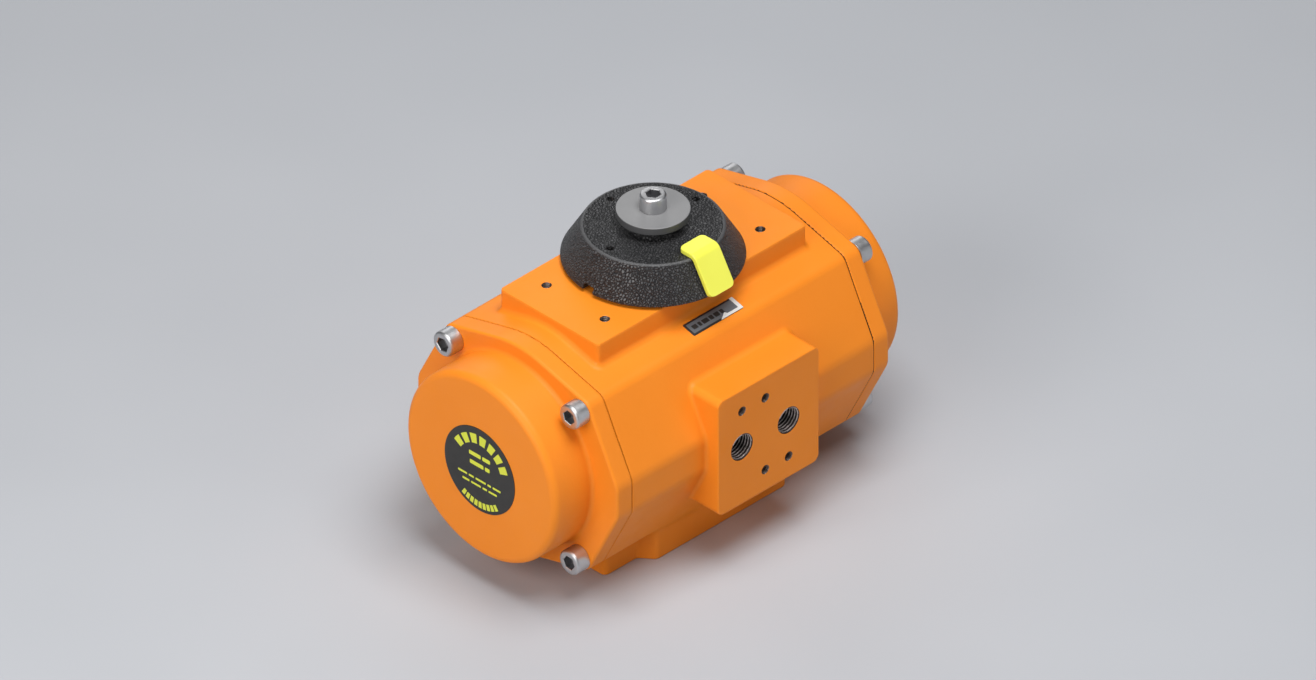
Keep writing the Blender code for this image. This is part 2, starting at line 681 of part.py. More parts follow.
disc = turned(
    "disc",
    [
        (3.3, P + 20.3), (8.0, P + 20.3), (8.0, P + 19.1), (DISC_R, P + 19.1),
        (DISC_R, P + 21.8), (DISC_R - 0.3, P + 22.1), (3.3, P + 22.1),
    ],
    "Z", 32,
)
finish(disc, "top_disc", GREY, SHAFT_ORIGIN)
bolt = turned(
    "bolt",
    [
        (0, P + 10.0), (2.2, P + 10.0), (2.7, P + 10.5), (2.7, P + 22.4), (5.0, P + 22.4), (5.0, P + 27.8),
        (4.5, P + 28.4), (0, P + 28.4),
    ],
    "Z", 16,
)
cut(bolt, prism("c", hexagon(5.0), "Z", P + 25.2, P + 30))
finish(bolt, "top_screw", STAINLESS, SHAFT_ORIGIN)

# ---- labels -------------------------------------------------------------------------------------
finish(
    prism("s", circle(18.0, 40, 0, 0, -0.5), "X", -CAP_END - 0.35, -CAP_END - 0.08),
    "cap_label", LABEL, (-CAP_END, 0, AXIS_Z - 0.5),
)
tilt = math.radians(ROOF_TILT)
plate = box("s", -12.7, 12.7, -3.175, 3.175, 0.10, 0.40)
roof_y = -30.8
roof_z = (CROWN_R - (-roof_y) * math.sin(tilt)) / math.cos(tilt)
plate.data.transform(Matrix.Translation(Vector((0, roof_y, roof_z))) @ Matrix.Rotation(tilt, 4, "X"))
finish(plate, "position_label", PLATE, (0, roof_y, AXIS_Z + roof_z))
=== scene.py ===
"""Looks for the spring-return rack-and-pinion actuator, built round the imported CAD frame.

Shapes are made in millimetres, with z measured from the cylinder's axis, and are
brought into the frame's metres by `settle`.
"""

import math

import bmesh
import bpy
import numpy as np
from mathutils import Matrix, Vector


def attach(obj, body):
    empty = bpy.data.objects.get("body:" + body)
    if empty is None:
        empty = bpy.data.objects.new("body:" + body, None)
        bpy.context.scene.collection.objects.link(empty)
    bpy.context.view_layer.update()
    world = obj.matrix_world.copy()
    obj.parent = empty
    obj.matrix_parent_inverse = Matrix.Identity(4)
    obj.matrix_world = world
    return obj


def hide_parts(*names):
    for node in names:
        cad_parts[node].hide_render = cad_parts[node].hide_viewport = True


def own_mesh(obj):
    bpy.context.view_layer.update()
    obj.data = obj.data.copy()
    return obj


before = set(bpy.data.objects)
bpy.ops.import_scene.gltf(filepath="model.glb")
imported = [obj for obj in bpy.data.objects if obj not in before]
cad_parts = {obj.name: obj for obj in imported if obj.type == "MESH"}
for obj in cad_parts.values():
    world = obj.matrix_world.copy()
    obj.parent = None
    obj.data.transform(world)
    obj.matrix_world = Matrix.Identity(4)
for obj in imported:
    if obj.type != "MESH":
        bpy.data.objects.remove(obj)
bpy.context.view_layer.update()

# ---- dimensions, as in the CAD, millimetres -----------------------------------
AXIS_Z = 51.2
PAD = 49.9
BODY_HALF = 62.05
CAP_IN, FLANGE_OUT, CAP_END = 62.35, 70.0, 89.1
CAP_R, CAP_BORE_R = 38.7, 33.2
BORE_R = 33.0
CROWN_R, ROOF_TILT, CHEEK_TILT, CHEEK_D, SIDE_Y = 45.2, 14.8, 26.7, 49.1, 51.6
SCREW_Y, SCREW_Z, CORNER_R = 32.5, 32.4, 5.5
PAD_X, PAD_Y = 53.7, 25.4
PORT_Y, PORT_X0, PORT_X1, PORT_Z = -57.76, -24.2, 27.7, 25.5
DOME_BASE_R, DOME_TOP_R, DOME_LOW, DOME_HIGH = 33.9, 25.7, 1.35, 14.9
CHANNEL_Y, CHANNEL_Z = -43.0, 6.5
MODULE, TEETH, PRESSURE, BACKLASH = 1.5, 16, 20.0, 0.30
PISTON_R, CROWN_IN, CROWN_OUT, SPRING_SEAT = 32.7, 26.0, 36.0, 32.3
RACK_END, RACK_HALF_Z = 25.3, 9.0


# ---- mesh helpers ---------------------------------------------------------------
def raw(name, verts, faces, tidy=True):
    mesh = bpy.data.meshes.new(name)
    mesh.from_pydata([tuple(v) for v in verts], [], faces)
    if tidy:
        bm = bmesh.new()
        bm.from_mesh(mesh)
        bmesh.ops.remove_doubles(bm, verts=bm.verts, dist=1e-5)
        bmesh.ops.recalc_face_normals(bm, faces=bm.faces)
        if bm.calc_volume(signed=True) < 0:
            bmesh.ops.reverse_faces(bm, faces=bm.faces)
        bm.to_mesh(mesh)
        bm.free()
    obj = bpy.data.objects.new(name, mesh)
    bpy.context.scene.collection.objects.link(obj)
    return obj


def place(axis, a, b, c):
    if axis == "X":
        return (c, a, b)
    if axis == "Y":
        return (b, c, a)
    return (a, b, c)


def loft(name, rings, axis):
    n = len(rings[0][1])
    verts = [place(axis, a, b, c) for c, ring in rings for a, b in ring]
    faces = [list(range(n))[::-1], [len(verts) - n + i for i in range(n)]]
    for k in range(len(rings) - 1):
        for i in range(n):
            j = (i + 1) % n
            faces.append([k * n + i, k * n + j, (k + 1) * n + j, (k + 1) * n + i])
    return raw(name, verts, faces)


def prism(name, ring, axis, lo, hi):
    return loft(name, [(lo, ring), (hi, ring)], axis)


def circle(r, n, a0=0.0, ca=0.0, cb=0.0):
    return [
        (ca + r * math.cos(a0 + 2 * math.pi * i / n), cb + r * math.sin(a0 + 2 * math.pi * i / n))
        for i in range(n)
    ]


def cylinder(name, r, axis, lo, hi, ca=0.0, cb=0.0, n=64):
    return prism(name, circle(r, n, math.pi / n, ca, cb), axis, lo, hi)


def turned(name, profile, axis, n=96, ca=0.0, cb=0.0):
    """Turns a closed profile of (r, c) points about the axis; r may be 0."""
    verts, where = [], []
    for r, c in profile:
        if r == 0:
            where.append([len(verts)] * n)
            verts.append(place(axis, ca, cb, c))
        else:
            where.append(list(range(len(verts), len(verts) + n)))
            verts += [place(axis, a, b, c) for a, b in circle(r, n, math.pi / n, ca, cb)]
    faces = []
    for k in range(len(profile)):
        m = (k + 1) % len(profile)
        if profile[k][0] == 0 and profile[m][0] == 0:
            continue
        for i in range(n):
            j = (i + 1) % n
            face = [where[k][i], where[k][j], where[m][j], where[m][i]]
            face = [v for s, v in enumerate(face) if v not in face[:s]]
            if len(face) > 2:
                faces.append(face)
    return raw(name, verts, faces)


def box(name, x0, x1, y0, y1, z0, z1):
    return prism(name, [(x0, y0), (x1, y0), (x1, y1), (x0, y1)], "Z", z0, z1)


def rounded(points, steps=8):
    """[(a, b, radius), ...] as a polygon with its corners rounded."""
    out = []
    n = len(points)
    for i in range(n):
        p = Vector(points[i][:2])
        r = points[i][2]
        u = Vector(points[i - 1][:2]) - p
        v = Vector(points[(i + 1) % n][:2]) - p
        u.normalize()
        v.normalize()
        half = u.angle(v) / 2
        if r <= 0:
            out.append(tuple(p))
            continue
        reach = r / math.tan(half)
        centre = p + (u + v).normalized() * (r / math.sin(half))
        a = p + u * reach - centre
        b = p + v * reach - centre
        start = math.atan2(a.y, a.x)
        turn = math.atan2(a.x * b.y - a.y * b.x, a.dot(b))
        for s in range(steps + 1):
            t = start + turn * s / steps
            out.append((centre.x + r * math.cos(t), centre.y + r * math.sin(t)))
    return out


def soft_profile(points, steps=5):
    """A turned profile whose corners carry a radius: [(r, c, fillet), ...]."""
    return rounded(points, steps)


def boolean(obj, other, operation="DIFFERENCE", solver="MANIFOLD"):
    modifier = obj.modifiers.new("cut", "BOOLEAN")
    modifier.operation = operation
    modifier.solver = solver
    modifier.object = other
    bpy.context.view_layer.update()
    graph = bpy.context.evaluated_depsgraph_get()
    made = bpy.data.meshes.new_from_object(obj.evaluated_get(graph))
    obj.modifiers.clear()
    if solver == "MANIFOLD" and (not made.polygons or len(made.polygons) == 0):
        bpy.data.meshes.remove(made)
        return boolean(obj, other, operation, "EXACT")
    spent = obj.data
    obj.data = made
    bpy.data.meshes.remove(spent)
    spent = other.data
    bpy.data.objects.remove(other, do_unlink=True)
    bpy.data.meshes.remove(spent)
    return obj


def cut(obj, *others):
    for other in others:
        boolean(obj, other)
    return obj


def join(obj, *others):
    for other in others:
        boolean(obj, other, "UNION")
    return obj


def settle(obj, name, mat, body, nodes=(), angle=30.0, weighted=True):
    """Millimetres to the frame's metres, smooth shading, one material, and its CAD body."""
    obj.name = name
    mesh = obj.data
    mesh.name = name
    mesh.transform(Matrix.Translation(Vector((0, 0, AXIS_Z))))
    mesh.transform(Matrix.Scale(0.001, 4))
    mesh.materials.clear()
    mesh.materials.append(mat)
    for face in mesh.polygons:
        face.use_smooth = True
        face.material_index = 0
    mesh.set_sharp_from_angle(angle=math.radians(angle))
    if weighted:
        modifier = obj.modifiers.new("weighted", "WEIGHTED_NORMAL")
        modifier.keep_sharp = True
        modifier.weight = 70
    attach(obj, body)
    if nodes:
        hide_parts(*nodes)
    return obj


def copy_of(obj, name, matrix):
    mesh = obj.data.copy()
    mesh.transform(matrix)
    if matrix.determinant() < 0:
        mesh.flip_normals()
    twin = bpy.data.objects.new(name, mesh)
    bpy.context.scene.collection.objects.link(twin)
    return twin


MIRROR_X = Matrix.Scale(-1, 4, Vector((1, 0, 0)))
HALF_TURN = Matrix.Rotation(math.pi, 4, "Z")


# ---- filleted castings from distance fields -----------------------------------------
def meet(n1, d1, n2, d2):
    det = n1[0] * n2[1] - n1[1] * n2[0]
    return ((d1 * n2[1] - d2 * n1[1]) / det, (n1[0] * d2 - n2[0] * d1) / det)


def silhouette():
    """The body's YZ outline as supporting lines and rounded corners: [(normal, distance)], [(centre, radius, n1, n2)]."""
    s, c = math.sin, math.cos
    roof, cheek = math.radians(ROOF_TILT), math.radians(CHEEK_TILT)
    upper = [((s(roof), c(roof)), CROWN_R), ((c(cheek), s(cheek)), CHEEK_D), ((1.0, 0.0), SIDE_Y)]
    lines, corners = [], []
    for sy in (1, -1):
        for sz in (1, -1):
            flip = lambda n: (sy * n[0], sz * n[1])
            top, mid, side = [(flip(n), d) for n, d in upper]
            lines += [top, mid, side]
            for (n1, d1), (n2, d2), r in ((top, mid, CORNER_R), (mid, side, 10.0)):
                corners.append((meet(n1, d1 - r, n2, d2 - r), r, n1, n2))
    for sz in (1, -1):
        n1, n2 = (s(roof), sz * c(roof)), (-s(roof), sz * c(roof))
        corners.append(((0.0, 0.0), CROWN_R, n1, n2))
    return lines, corners


LINES, CORNERS = silhouette()


def body_flat(y, z):
    """Signed distance to the body's outline."""
    out = np.full(np.broadcast(y, z).shape, -1e9)
    for n, d in LINES:
        out = np.maximum(out, n[0] * y + n[1] * z - d)
    for c, r, n1, n2 in CORNERS:
        py, pz = y - c[0], z - c[1]
        turn = n1[0] * n2[1] - n1[1] * n2[0]
        first = (n1[0] * pz - n1[1] * py) * turn
        second = (py * n2[1] - pz * n2[0]) * turn
        wedge = (first > 0) & (second > 0)
        out = np.where(wedge, np.hypot(py, pz) - r, out)
    return out


def base_flat(x, y):
    """Signed distance to the valve flange's plan."""
    foot = box_flat(x, y, 54.0, 29.2, 2.4)
    n = Vector((5.8, 4.5)).normalized()
    shoulder = n[0] * np.abs(x) + n[1] * np.abs(y) - (37.5 * n[0] + 29.2 * n[1])
    shoulder = np.maximum(shoulder, np.abs(x) - 38.4)
    return filleted(foot, extruded(shoulder, np.abs(y) - 35.0, 1.0), 0.8)


def box_flat(a, b, half_a, half_b, r):
    qa, qb = np.abs(a) - half_a + r, np.abs(b) - half_b + r
    return np.minimum(np.maximum(qa, qb), 0) + np.hypot(np.maximum(qa, 0), np.maximum(qb, 0)) - r


def extruded(flat, along, rounding):
    """Joins a flat outline's distance with the distance past its end faces, edges rounded."""
    a, b = flat + rounding, along + rounding
    return np.minimum(np.maximum(a, b), 0) + np.hypot(np.maximum(a, 0), np.maximum(b, 0)) - rounding


def filleted(a, b, r):
    """Union with a concave fillet of radius r."""
    return np.maximum(r, np.minimum(a, b)) - np.hypot(np.maximum(r - a, 0), np.maximum(r - b, 0))


def surface_of(name, field, lo, hi, step, relax=2):
    """Surface nets over field(x, y, z), each vertex then carried onto the surface."""
    lo = np.array(lo, float)
    n = [int(math.ceil((h - l) / step)) + 1 for l, h in zip(lo, hi)]
    axes = [lo[k] + step * np.arange(n[k]) for k in range(3)]
    f = field(axes[0][:, None, None], axes[1][None, :, None], axes[2][None, None, :]).astype(np.float32)
    f = np.where(np.abs(f) < 1e-5, 1e-5, f)
    neg = f < 0
    cells = np.zeros([k - 1 for k in n], np.int8)
    corners = [(i, j, k) for i in (0, 1) for j in (0, 1) for k in (0, 1)]

    def at(values, c):
        return values[c[0]: n[0] - 1 + c[0], c[1]: n[1] - 1 + c[1], c[2]: n[2] - 1 + c[2]]

    for c in corners:
        cells += at(neg, c)
    active = (cells > 0) & (cells < 8)
    where = np.argwhere(active)
    index = np.full(active.shape, -1, np.int32)
    index[active] = np.arange(len(where))
    total = np.zeros((len(where), 3))
    count = np.zeros(len(where))
    for c in corners:
        for k in range(3):
            if c[k]:
                continue
            d = list(c)
            d[k] = 1
            f0 = f[where[:, 0] + c[0], where[:, 1] + c[1], where[:, 2] + c[2]]
            f1 = f[where[:, 0] + d[0], where[:, 1] + d[1], where[:, 2] + d[2]]
            hit = (f0 < 0) != (f1 < 0)
            t = np.where(hit, f0 / np.where(hit, f0 - f1, 1), 0)
            point = np.repeat(np.array([c], float), len(where), 0)
            point[:, k] += t
            total += point * hit[:, None]
            count += hit
    verts = lo + step * (where + total / count[:, None])
    quads = []
    for k in range(3):
        a = [slice(None)] * 3
        b = [slice(None)] * 3
        a[k], b[k] = slice(0, n[k] - 1), slice(1, n[k])
        for other in range(3):
            if other != k:
                a[other] = b[other] = slice(1, n[other] - 1)
        n0, n1 = neg[tuple(a)], neg[tuple(b)]
        u, v = [q for q in range(3) if q != k]
        if k == 1:
            u, v = v, u
        base = np.argwhere(n0 != n1)
        if not len(base):
            continue
        flip = ~n0[tuple(base.T)]
        for other in range(3):
            if other != k:
                base[:, other] += 1
        ids = []
        for du, dv in ((0, 0), (1, 0), (1, 1), (0, 1)):
            q = base.copy()
            q[:, u] -= du
            q[:, v] -= dv
            ids.append(index[q[:, 0], q[:, 1], q[:, 2]])
        ids = np.stack(ids, 1)
        ids[flip] = ids[flip][:, ::-1]
        quads.append(ids)
    quads = np.concatenate(quads)

    def slope_of(p):
        e = 0.02
        g = np.empty_like(p)
        for k in range(3):
            q, r = p.copy(), p.copy()
            q[:, k] += e
            r[:, k] -= e
            g[:, k] = (field(*q.T) - field(*r.T)) / (2 * e)
        return g

    def onto(p):
        g = slope_of(p)
        g2 = np.maximum((g * g).sum(1), 0.05)
        return p - np.clip(field(*p.T) / g2, -0.5 * step, 0.5 * step)[:, None] * g

    for _ in range(2):
        verts = onto(verts)
    pairs = np.concatenate([quads[:, [0, 1]], quads[:, [1, 2]], quads[:, [2, 3]], quads[:, [3, 0]]])
    for _ in range(relax):
        mean = np.zeros_like(verts)
        degree = np.zeros(len(verts))
        for k in range(3):
            mean[:, k] = np.bincount(pairs[:, 0], verts[pairs[:, 1], k], len(verts))
        degree = np.bincount(pairs[:, 0], minlength=len(verts))
        verts = onto(verts + 0.4 * (mean / degree[:, None] - verts))
    verts = onto(verts)
    mesh = bpy.data.meshes.new(name)
    mesh.vertices.add(len(verts))
    mesh.vertices.foreach_set("co", verts.astype(np.float32).ravel())
    mesh.loops.add(len(quads) * 4)
    mesh.loops.foreach_set("vertex_index", quads.astype(np.int32).ravel())
    mesh.polygons.add(len(quads))
    mesh.polygons.foreach_set("loop_start", np.arange(0, len(quads) * 4, 4, dtype=np.int32))
    mesh.update(calc_edges=True)
    mesh.validate()
    obj = bpy.data.objects.new(name, mesh)
    bpy.context.scene.collection.objects.link(obj)
    return obj


def threaded(name, r, depth, pitch, axis, lo, hi, ca, cb, n=48, per=6, lead=0.6, mouth=None):
    """A tapped hole's cutter: a rod with a helical V thread; its countersink is a separate cutter, made by countersink.
    mouth is "lo" or "hi", the end that opens."""
    rows = int((hi - lo) / pitch * per)
    verts = []
    for k in range(rows + 1):
        c = lo + (hi - lo) * k / rows
        for i in range(n):
            a = 2 * math.pi * i / n
            phase = ((c / pitch) - i / n) % 1.0
            rise = max(0.0, min(1.0, 1.5 - abs(phase - 0.5) * 3.2))
            edge = (c - lo) if mouth == "hi" else (hi - c)
            fade = max(0.0, min(1.0, edge / pitch))
            rr = r + depth * rise * fade
            verts.append(place(axis, ca + rr * math.cos(a), cb + rr * math.sin(a), c))
    faces = [list(range(n))[::-1], [rows * n + i for i in range(n)]]
    for k in range(rows):
        for i in range(n):
            j = (i + 1) % n
            faces.append([k * n + i, k * n + j, (k + 1) * n + j, (k + 1) * n + i])
    return raw(name, verts, faces)


def countersink(r, wide, axis, face, outward, ca, cb, n=48):
    """A cone that breaks the hole's edge; outward is the side on which the hole opens."""
    deep = wide * 0.75
    profile = [(0, face - outward * deep), (r, face - outward * deep), (r + wide, face), (r + wide, face + outward * 2), (0, face + outward * 2)]
    return turned("c", profile, axis, n, ca, cb)


# ---- materials --------------------------------------------------------------------------
def new_material(name):
    mat = bpy.data.materials.new(name)
    mat.use_nodes = True
    tree = mat.node_tree
    shader = tree.nodes["Principled BSDF"]
    return mat, tree, shader


def node(tree, kind, **inputs):
    made = tree.nodes.new(kind)
    for key, value in inputs.items():
        made.inputs[key.replace("_", " ")].default_value = value
    return made


def position(tree):
    return tree.nodes.new("ShaderNodeTexCoord").outputs["Object"]


def noise(tree, scale, detail=4.0, rough=0.55, vector=None, distortion=0.0):
    made = node(tree, "ShaderNodeTexNoise", Scale=scale, Detail=detail, Roughness=rough, Distortion=distortion)
    tree.links.new(vector or position(tree), made.inputs["Vector"])
    return made


def ramp(tree, source, stops):
    made = tree.nodes.new("ShaderNodeValToRGB")
    tree.links.new(source, made.inputs["Fac"])
    elements = made.color_ramp.elements
    while len(elements) < len(stops):
        elements.new(0.5)
    for element, (at, color) in zip(elements, stops):
        element.position = at
        element.color = (*color, 1.0) if len(color) == 3 else color
    return made.outputs["Color"]


def span(tree, source, lo, hi, from_lo=0.0, from_hi=1.0):
    made = node(tree, "ShaderNodeMapRange")
    made.inputs["From Min"].default_value = from_lo
    made.inputs["From Max"].default_value = from_hi
    made.inputs["To Min"].default_value = lo
    made.inputs["To Max"].default_value = hi
    tree.links.new(source, made.inputs["Value"])
    return made.outputs["Result"]


def bump(tree, height, strength, distance, before=None):
    made = node(tree, "ShaderNodeBump", Strength=strength, Distance=distance)
    tree.links.new(height, made.inputs["Height"])
    if before is not None:
        tree.links.new(before, made.inputs["Normal"])
    return made.outputs["Normal"]


def enamel(name, base, dark):
    """Powder-coated casting: fine orange peel, faint drift in colour and gloss."""
    mat, tree, shader = new_material(name)
    drift = noise(tree, 18.0, 3.0).outputs["Fac"]
    tree.links.new(ramp(tree, drift, [(0.32, dark), (0.68, base)]), shader.inputs["Base Color"])
    gloss = noise(tree, 120.0, 3.0).outputs["Fac"]
    tree.links.new(span(tree, gloss, 0.42, 0.52, 0.3, 0.7), shader.inputs["Roughness"])
    peel = noise(tree, 850.0, 2.0, 0.5).outputs["Fac"]
    grit = noise(tree, 3600.0, 1.0, 0.5).outputs["Fac"]
    first = bump(tree, peel, 0.10, 0.0004)
    tree.links.new(bump(tree, grit, 0.04, 0.0001, first), shader.inputs["Normal"])
    shader.inputs["Specular IOR Level"].default_value = 0.22
    return mat


def metal(name, base, dark, rough_lo, rough_hi, lines=None, scale=1400.0):
    """Bare metal: drift in brightness, machining lines where lines names an axis."""
    mat, tree, shader = new_material(name)
    shader.inputs["Metallic"].default_value = 1.0
    coords = position(tree)
    drift = noise(tree, 60.0, 4.0, vector=coords).outputs["Fac"]
    tree.links.new(ramp(tree, drift, [(0.3, dark), (0.7, base)]), shader.inputs["Base Color"])
    grain = noise(tree, 380.0, 5.0, 0.6, vector=coords).outputs["Fac"]
    tree.links.new(span(tree, grain, rough_lo, rough_hi, 0.3, 0.7), shader.inputs["Roughness"])
    if lines:
        mapping = tree.nodes.new("ShaderNodeMapping")
        stretch = {"X": (1, 0.02, 0.02), "Y": (0.02, 1, 0.02), "Z": (0.02, 0.02, 1)}[lines]
        mapping.inputs["Scale"].default_value = stretch
        tree.links.new(coords, mapping.inputs["Vector"])
        streak = noise(tree, scale * 2, 2.0, 0.6, vector=mapping.outputs["Vector"]).outputs["Fac"]
        tree.links.new(bump(tree, streak, 0.25, 0.00005), shader.inputs["Normal"])
    else:
        pits = noise(tree, scale, 3.0, 0.6, vector=coords).outputs["Fac"]
        tree.links.new(bump(tree, pits, 0.18, 0.00012), shader.inputs["Normal"])
    return mat


def plastic(name, base, dark, rough_lo, rough_hi, fine=2200.0, strength=0.08):
    mat, tree, shader = new_material(name)
    coords = position(tree)
    drift = noise(tree, 45.0, 3.0, vector=coords).outputs["Fac"]
    tree.links.new(ramp(tree, drift, [(0.3, dark), (0.7, base)]), shader.inputs["Base Color"])
    gloss = noise(tree, 260.0, 3.0, vector=coords).outputs["Fac"]
    tree.links.new(span(tree, gloss, rough_lo, rough_hi, 0.3, 0.7), shader.inputs["Roughness"])
    texture = noise(tree, fine, 2.0, 0.5, vector=coords).outputs["Fac"]
    tree.links.new(bump(tree, texture, strength, 0.00012), shader.inputs["Normal"])
    return mat


def leather_grain(name):
    """Black plastic moulded with a pebbled leather grain about a millimetre across."""
    mat, tree, shader = new_material(name)
    coords = position(tree)
    warp = noise(tree, 420.0, 2.0, vector=coords)
    push = tree.nodes.new("ShaderNodeVectorMath")
    push.operation = "MULTIPLY_ADD"
    tree.links.new(warp.outputs["Color"], push.inputs[0])
    push.inputs[1].default_value = (0.0011, 0.0011, 0.0011)
    tree.links.new(coords, push.inputs[2])
    cells = tree.nodes.new("ShaderNodeTexVoronoi")
    cells.feature = "DISTANCE_TO_EDGE"
    cells.inputs["Scale"].default_value = 980.0
    tree.links.new(push.outputs["Vector"], cells.inputs["Vector"])
    pebble = span(tree, cells.outputs["Distance"], 0.0, 1.0, 0.0, 0.22)
    small = noise(tree, 2600.0, 3.0, vector=coords).outputs["Fac"]
    # along the rim the grain is smoothed, and its colour lightened as a painted highlight
    split = tree.nodes.new("ShaderNodeSeparateXYZ")
    tree.links.new(coords, split.inputs["Vector"])
    flat = tree.nodes.new("ShaderNodeCombineXYZ")
    tree.links.new(split.outputs["X"], flat.inputs["X"])
    tree.links.new(split.outputs["Y"], flat.inputs["Y"])
    length = tree.nodes.new("ShaderNodeVectorMath")
    length.operation = "LENGTH"
    tree.links.new(flat.outputs["Vector"], length.inputs[0])
    rim_highlight = node(tree, "ShaderNodeMapRange")
    rim_highlight.interpolation_type = "SMOOTHSTEP"
    rim_highlight.inputs["From Min"].default_value = 0.0008
    rim_highlight.inputs["From Max"].default_value = 0.0002
    off = tree.nodes.new("ShaderNodeMath")
    off.operation = "SUBTRACT"
    tree.links.new(length.outputs["Value"], off.inputs[0])
    off.inputs[1].default_value = (DOME_TOP_R + 0.35) / 1000
    size = tree.nodes.new("ShaderNodeMath")
    size.operation = "ABSOLUTE"
    tree.links.new(off.outputs["Value"], size.inputs[0])
    tree.links.new(size.outputs["Value"], rim_highlight.inputs["Value"])
    strength = span(tree, rim_highlight.outputs["Result"], 1.0, 0.3)
    first = tree.nodes.new("ShaderNodeBump")
    first.inputs["Distance"].default_value = 0.00038
    tree.links.new(strength, first.inputs["Strength"])
    tree.links.new(pebble, first.inputs["Height"])
    tree.links.new(bump(tree, small, 0.25, 0.00012, first.outputs["Normal"]), shader.inputs["Normal"])
    tone = ramp(tree, cells.outputs["Distance"], [(0.0, (0.004, 0.004, 0.0045)), (0.10, (0.022, 0.022, 0.024)), (0.42, (0.078, 0.078, 0.081))])
    # the rim's lighter colour is a painted highlight
    blend = tree.nodes.new("ShaderNodeMix")
    blend.data_type = "RGBA"
    tree.links.new(rim_highlight.outputs["Result"], blend.inputs["Factor"])
    tree.links.new(tone, blend.inputs["A"])
    blend.inputs["B"].default_value = (0.075, 0.075, 0.078, 1.0)
    tree.links.new(blend.outputs["Result"], shader.inputs["Base Color"])
    tree.links.new(span(tree, small, 0.38, 0.54, 0.3, 0.7), shader.inputs["Roughness"])
    shader.inputs["Specular IOR Level"].default_value = 0.5
    return mat


ORANGE = enamel("orange_enamel", (0.900, 0.262, 0.018), (0.862, 0.243, 0.015))
ORANGE_CAP = enamel("orange_enamel_cap", (0.905, 0.264, 0.019), (0.868, 0.245, 0.016))
STAINLESS = metal("stainless_steel", (0.60, 0.60, 0.61), (0.50, 0.50, 0.51), 0.36, 0.48)
STEEL = metal("ground_steel", (0.55, 0.55, 0.56), (0.45, 0.45, 0.46), 0.22, 0.36, "Z")
ALUMINIUM = metal("cast_aluminium", (0.70, 0.71, 0.73), (0.60, 0.61, 0.63), 0.34, 0.48)
SPRING = plastic("coated_spring_steel", (0.06, 0.11, 0.24), (0.045, 0.085, 0.19), 0.30, 0.42)
# bare cut aluminium, darkened and browned: painted shade and painted orange reflection inside holes and bores
MACHINED_PAINTED_SHADE = metal("machined_aluminium_painted_shade", (0.26, 0.21, 0.19), (0.18, 0.145, 0.13), 0.40, 0.55)
# darker steel for the socket's walls and floor: painted shade in the recess
SOCKET_PAINTED_SHADE = metal("socket_steel_painted_shade", (0.34, 0.34, 0.35), (0.24, 0.24, 0.25), 0.36, 0.50)
# thread colours: painted highlight on the crests, painted shade in the grooves
CREST_PAINTED_HIGHLIGHT = metal("thread_crest_painted_highlight", (0.56, 0.49, 0.47), (0.48, 0.42, 0.40), 0.38, 0.52)
GROOVE_PAINTED_SHADE = metal("thread_groove_painted_shade", (0.10, 0.08, 0.075), (0.07, 0.055, 0.05), 0.45, 0.6)
BLACK_STEEL = metal("blackened_steel", (0.10, 0.10, 0.105), (0.07, 0.07, 0.075), 0.35, 0.5)
RUBBER = plastic("nitrile_rubber", (0.018, 0.018, 0.018), (0.012, 0.012, 0.012), 0.55, 0.75, 1800.0, 0.2)
BEARING = plastic("bearing_polymer", (0.72, 0.68, 0.56), (0.66, 0.62, 0.50), 0.40, 0.55)
DOME = leather_grain("grained_black_plastic")
YELLOW = plastic("yellow_plastic", (0.86, 0.86, 0.10), (0.82, 0.81, 0.085), 0.28, 0.36, 1500.0, 0.03)
GREY = plastic("grey_disc", (0.230, 0.230, 0.234), (0.200, 0.200, 0.204), 0.36, 0.46, 1700.0, 0.10)
# darker grey for the disc's side and underside: painted shade, the same paint as the top
GREY_PAINTED_SHADE = plastic("grey_disc_painted_shade", (0.075, 0.075, 0.077), (0.060, 0.060, 0.062), 0.36, 0.46, 1700.0, 0.10)
LABEL_BLACK = plastic("label_black", (0.022, 0.021, 0.019), (0.017, 0.016, 0.015), 0.42, 0.52, 2600.0, 0.05)
LABEL_YELLOW = plastic("label_yellow", (0.72, 0.76, 0.045), (0.68, 0.71, 0.04), 0.30, 0.40, 2600.0, 0.05)
# white piece on the position plate: painted highlight
LABEL_PAINTED_GLINT = plastic("label_painted_glint", (0.78, 0.78, 0.76), (0.72, 0.72, 0.70), 0.28, 0.38, 2600.0, 0.05)
LABEL_PLATE = metal("label_frame", (0.86, 0.86, 0.86), (0.78, 0.78, 0.79), 0.16, 0.26)
LABEL_GREY = plastic("label_grey", (0.155, 0.165, 0.180), (0.115, 0.122, 0.135), 0.28, 0.38, 2600.0, 0.05)


# ---- housing ------------------------------------------------------------------------------
def housing_field(x, y, z):
    body = extruded(body_flat(y, z), np.abs(x) - BODY_HALF, 0.35)
    pad = extruded(box_flat(x, y, PAD_X, PAD_Y, 1.6), np.maximum(z - PAD, -z), 0.4)
    base = extruded(base_flat(x, y), np.maximum(-AXIS_Z - z, z), 0.55)
    mid, half = (PORT_X0 + PORT_X1) / 2, (PORT_X1 - PORT_X0) / 2
    block = extruded(box_flat(x - mid, z, half, PORT_Z, 3.0), np.maximum(PORT_Y - y, y), 0.5)
    out = filleted(body, pad, 2.2)
    out = filleted(out, base, 3.0)
    return filleted(out, block, 1.6)


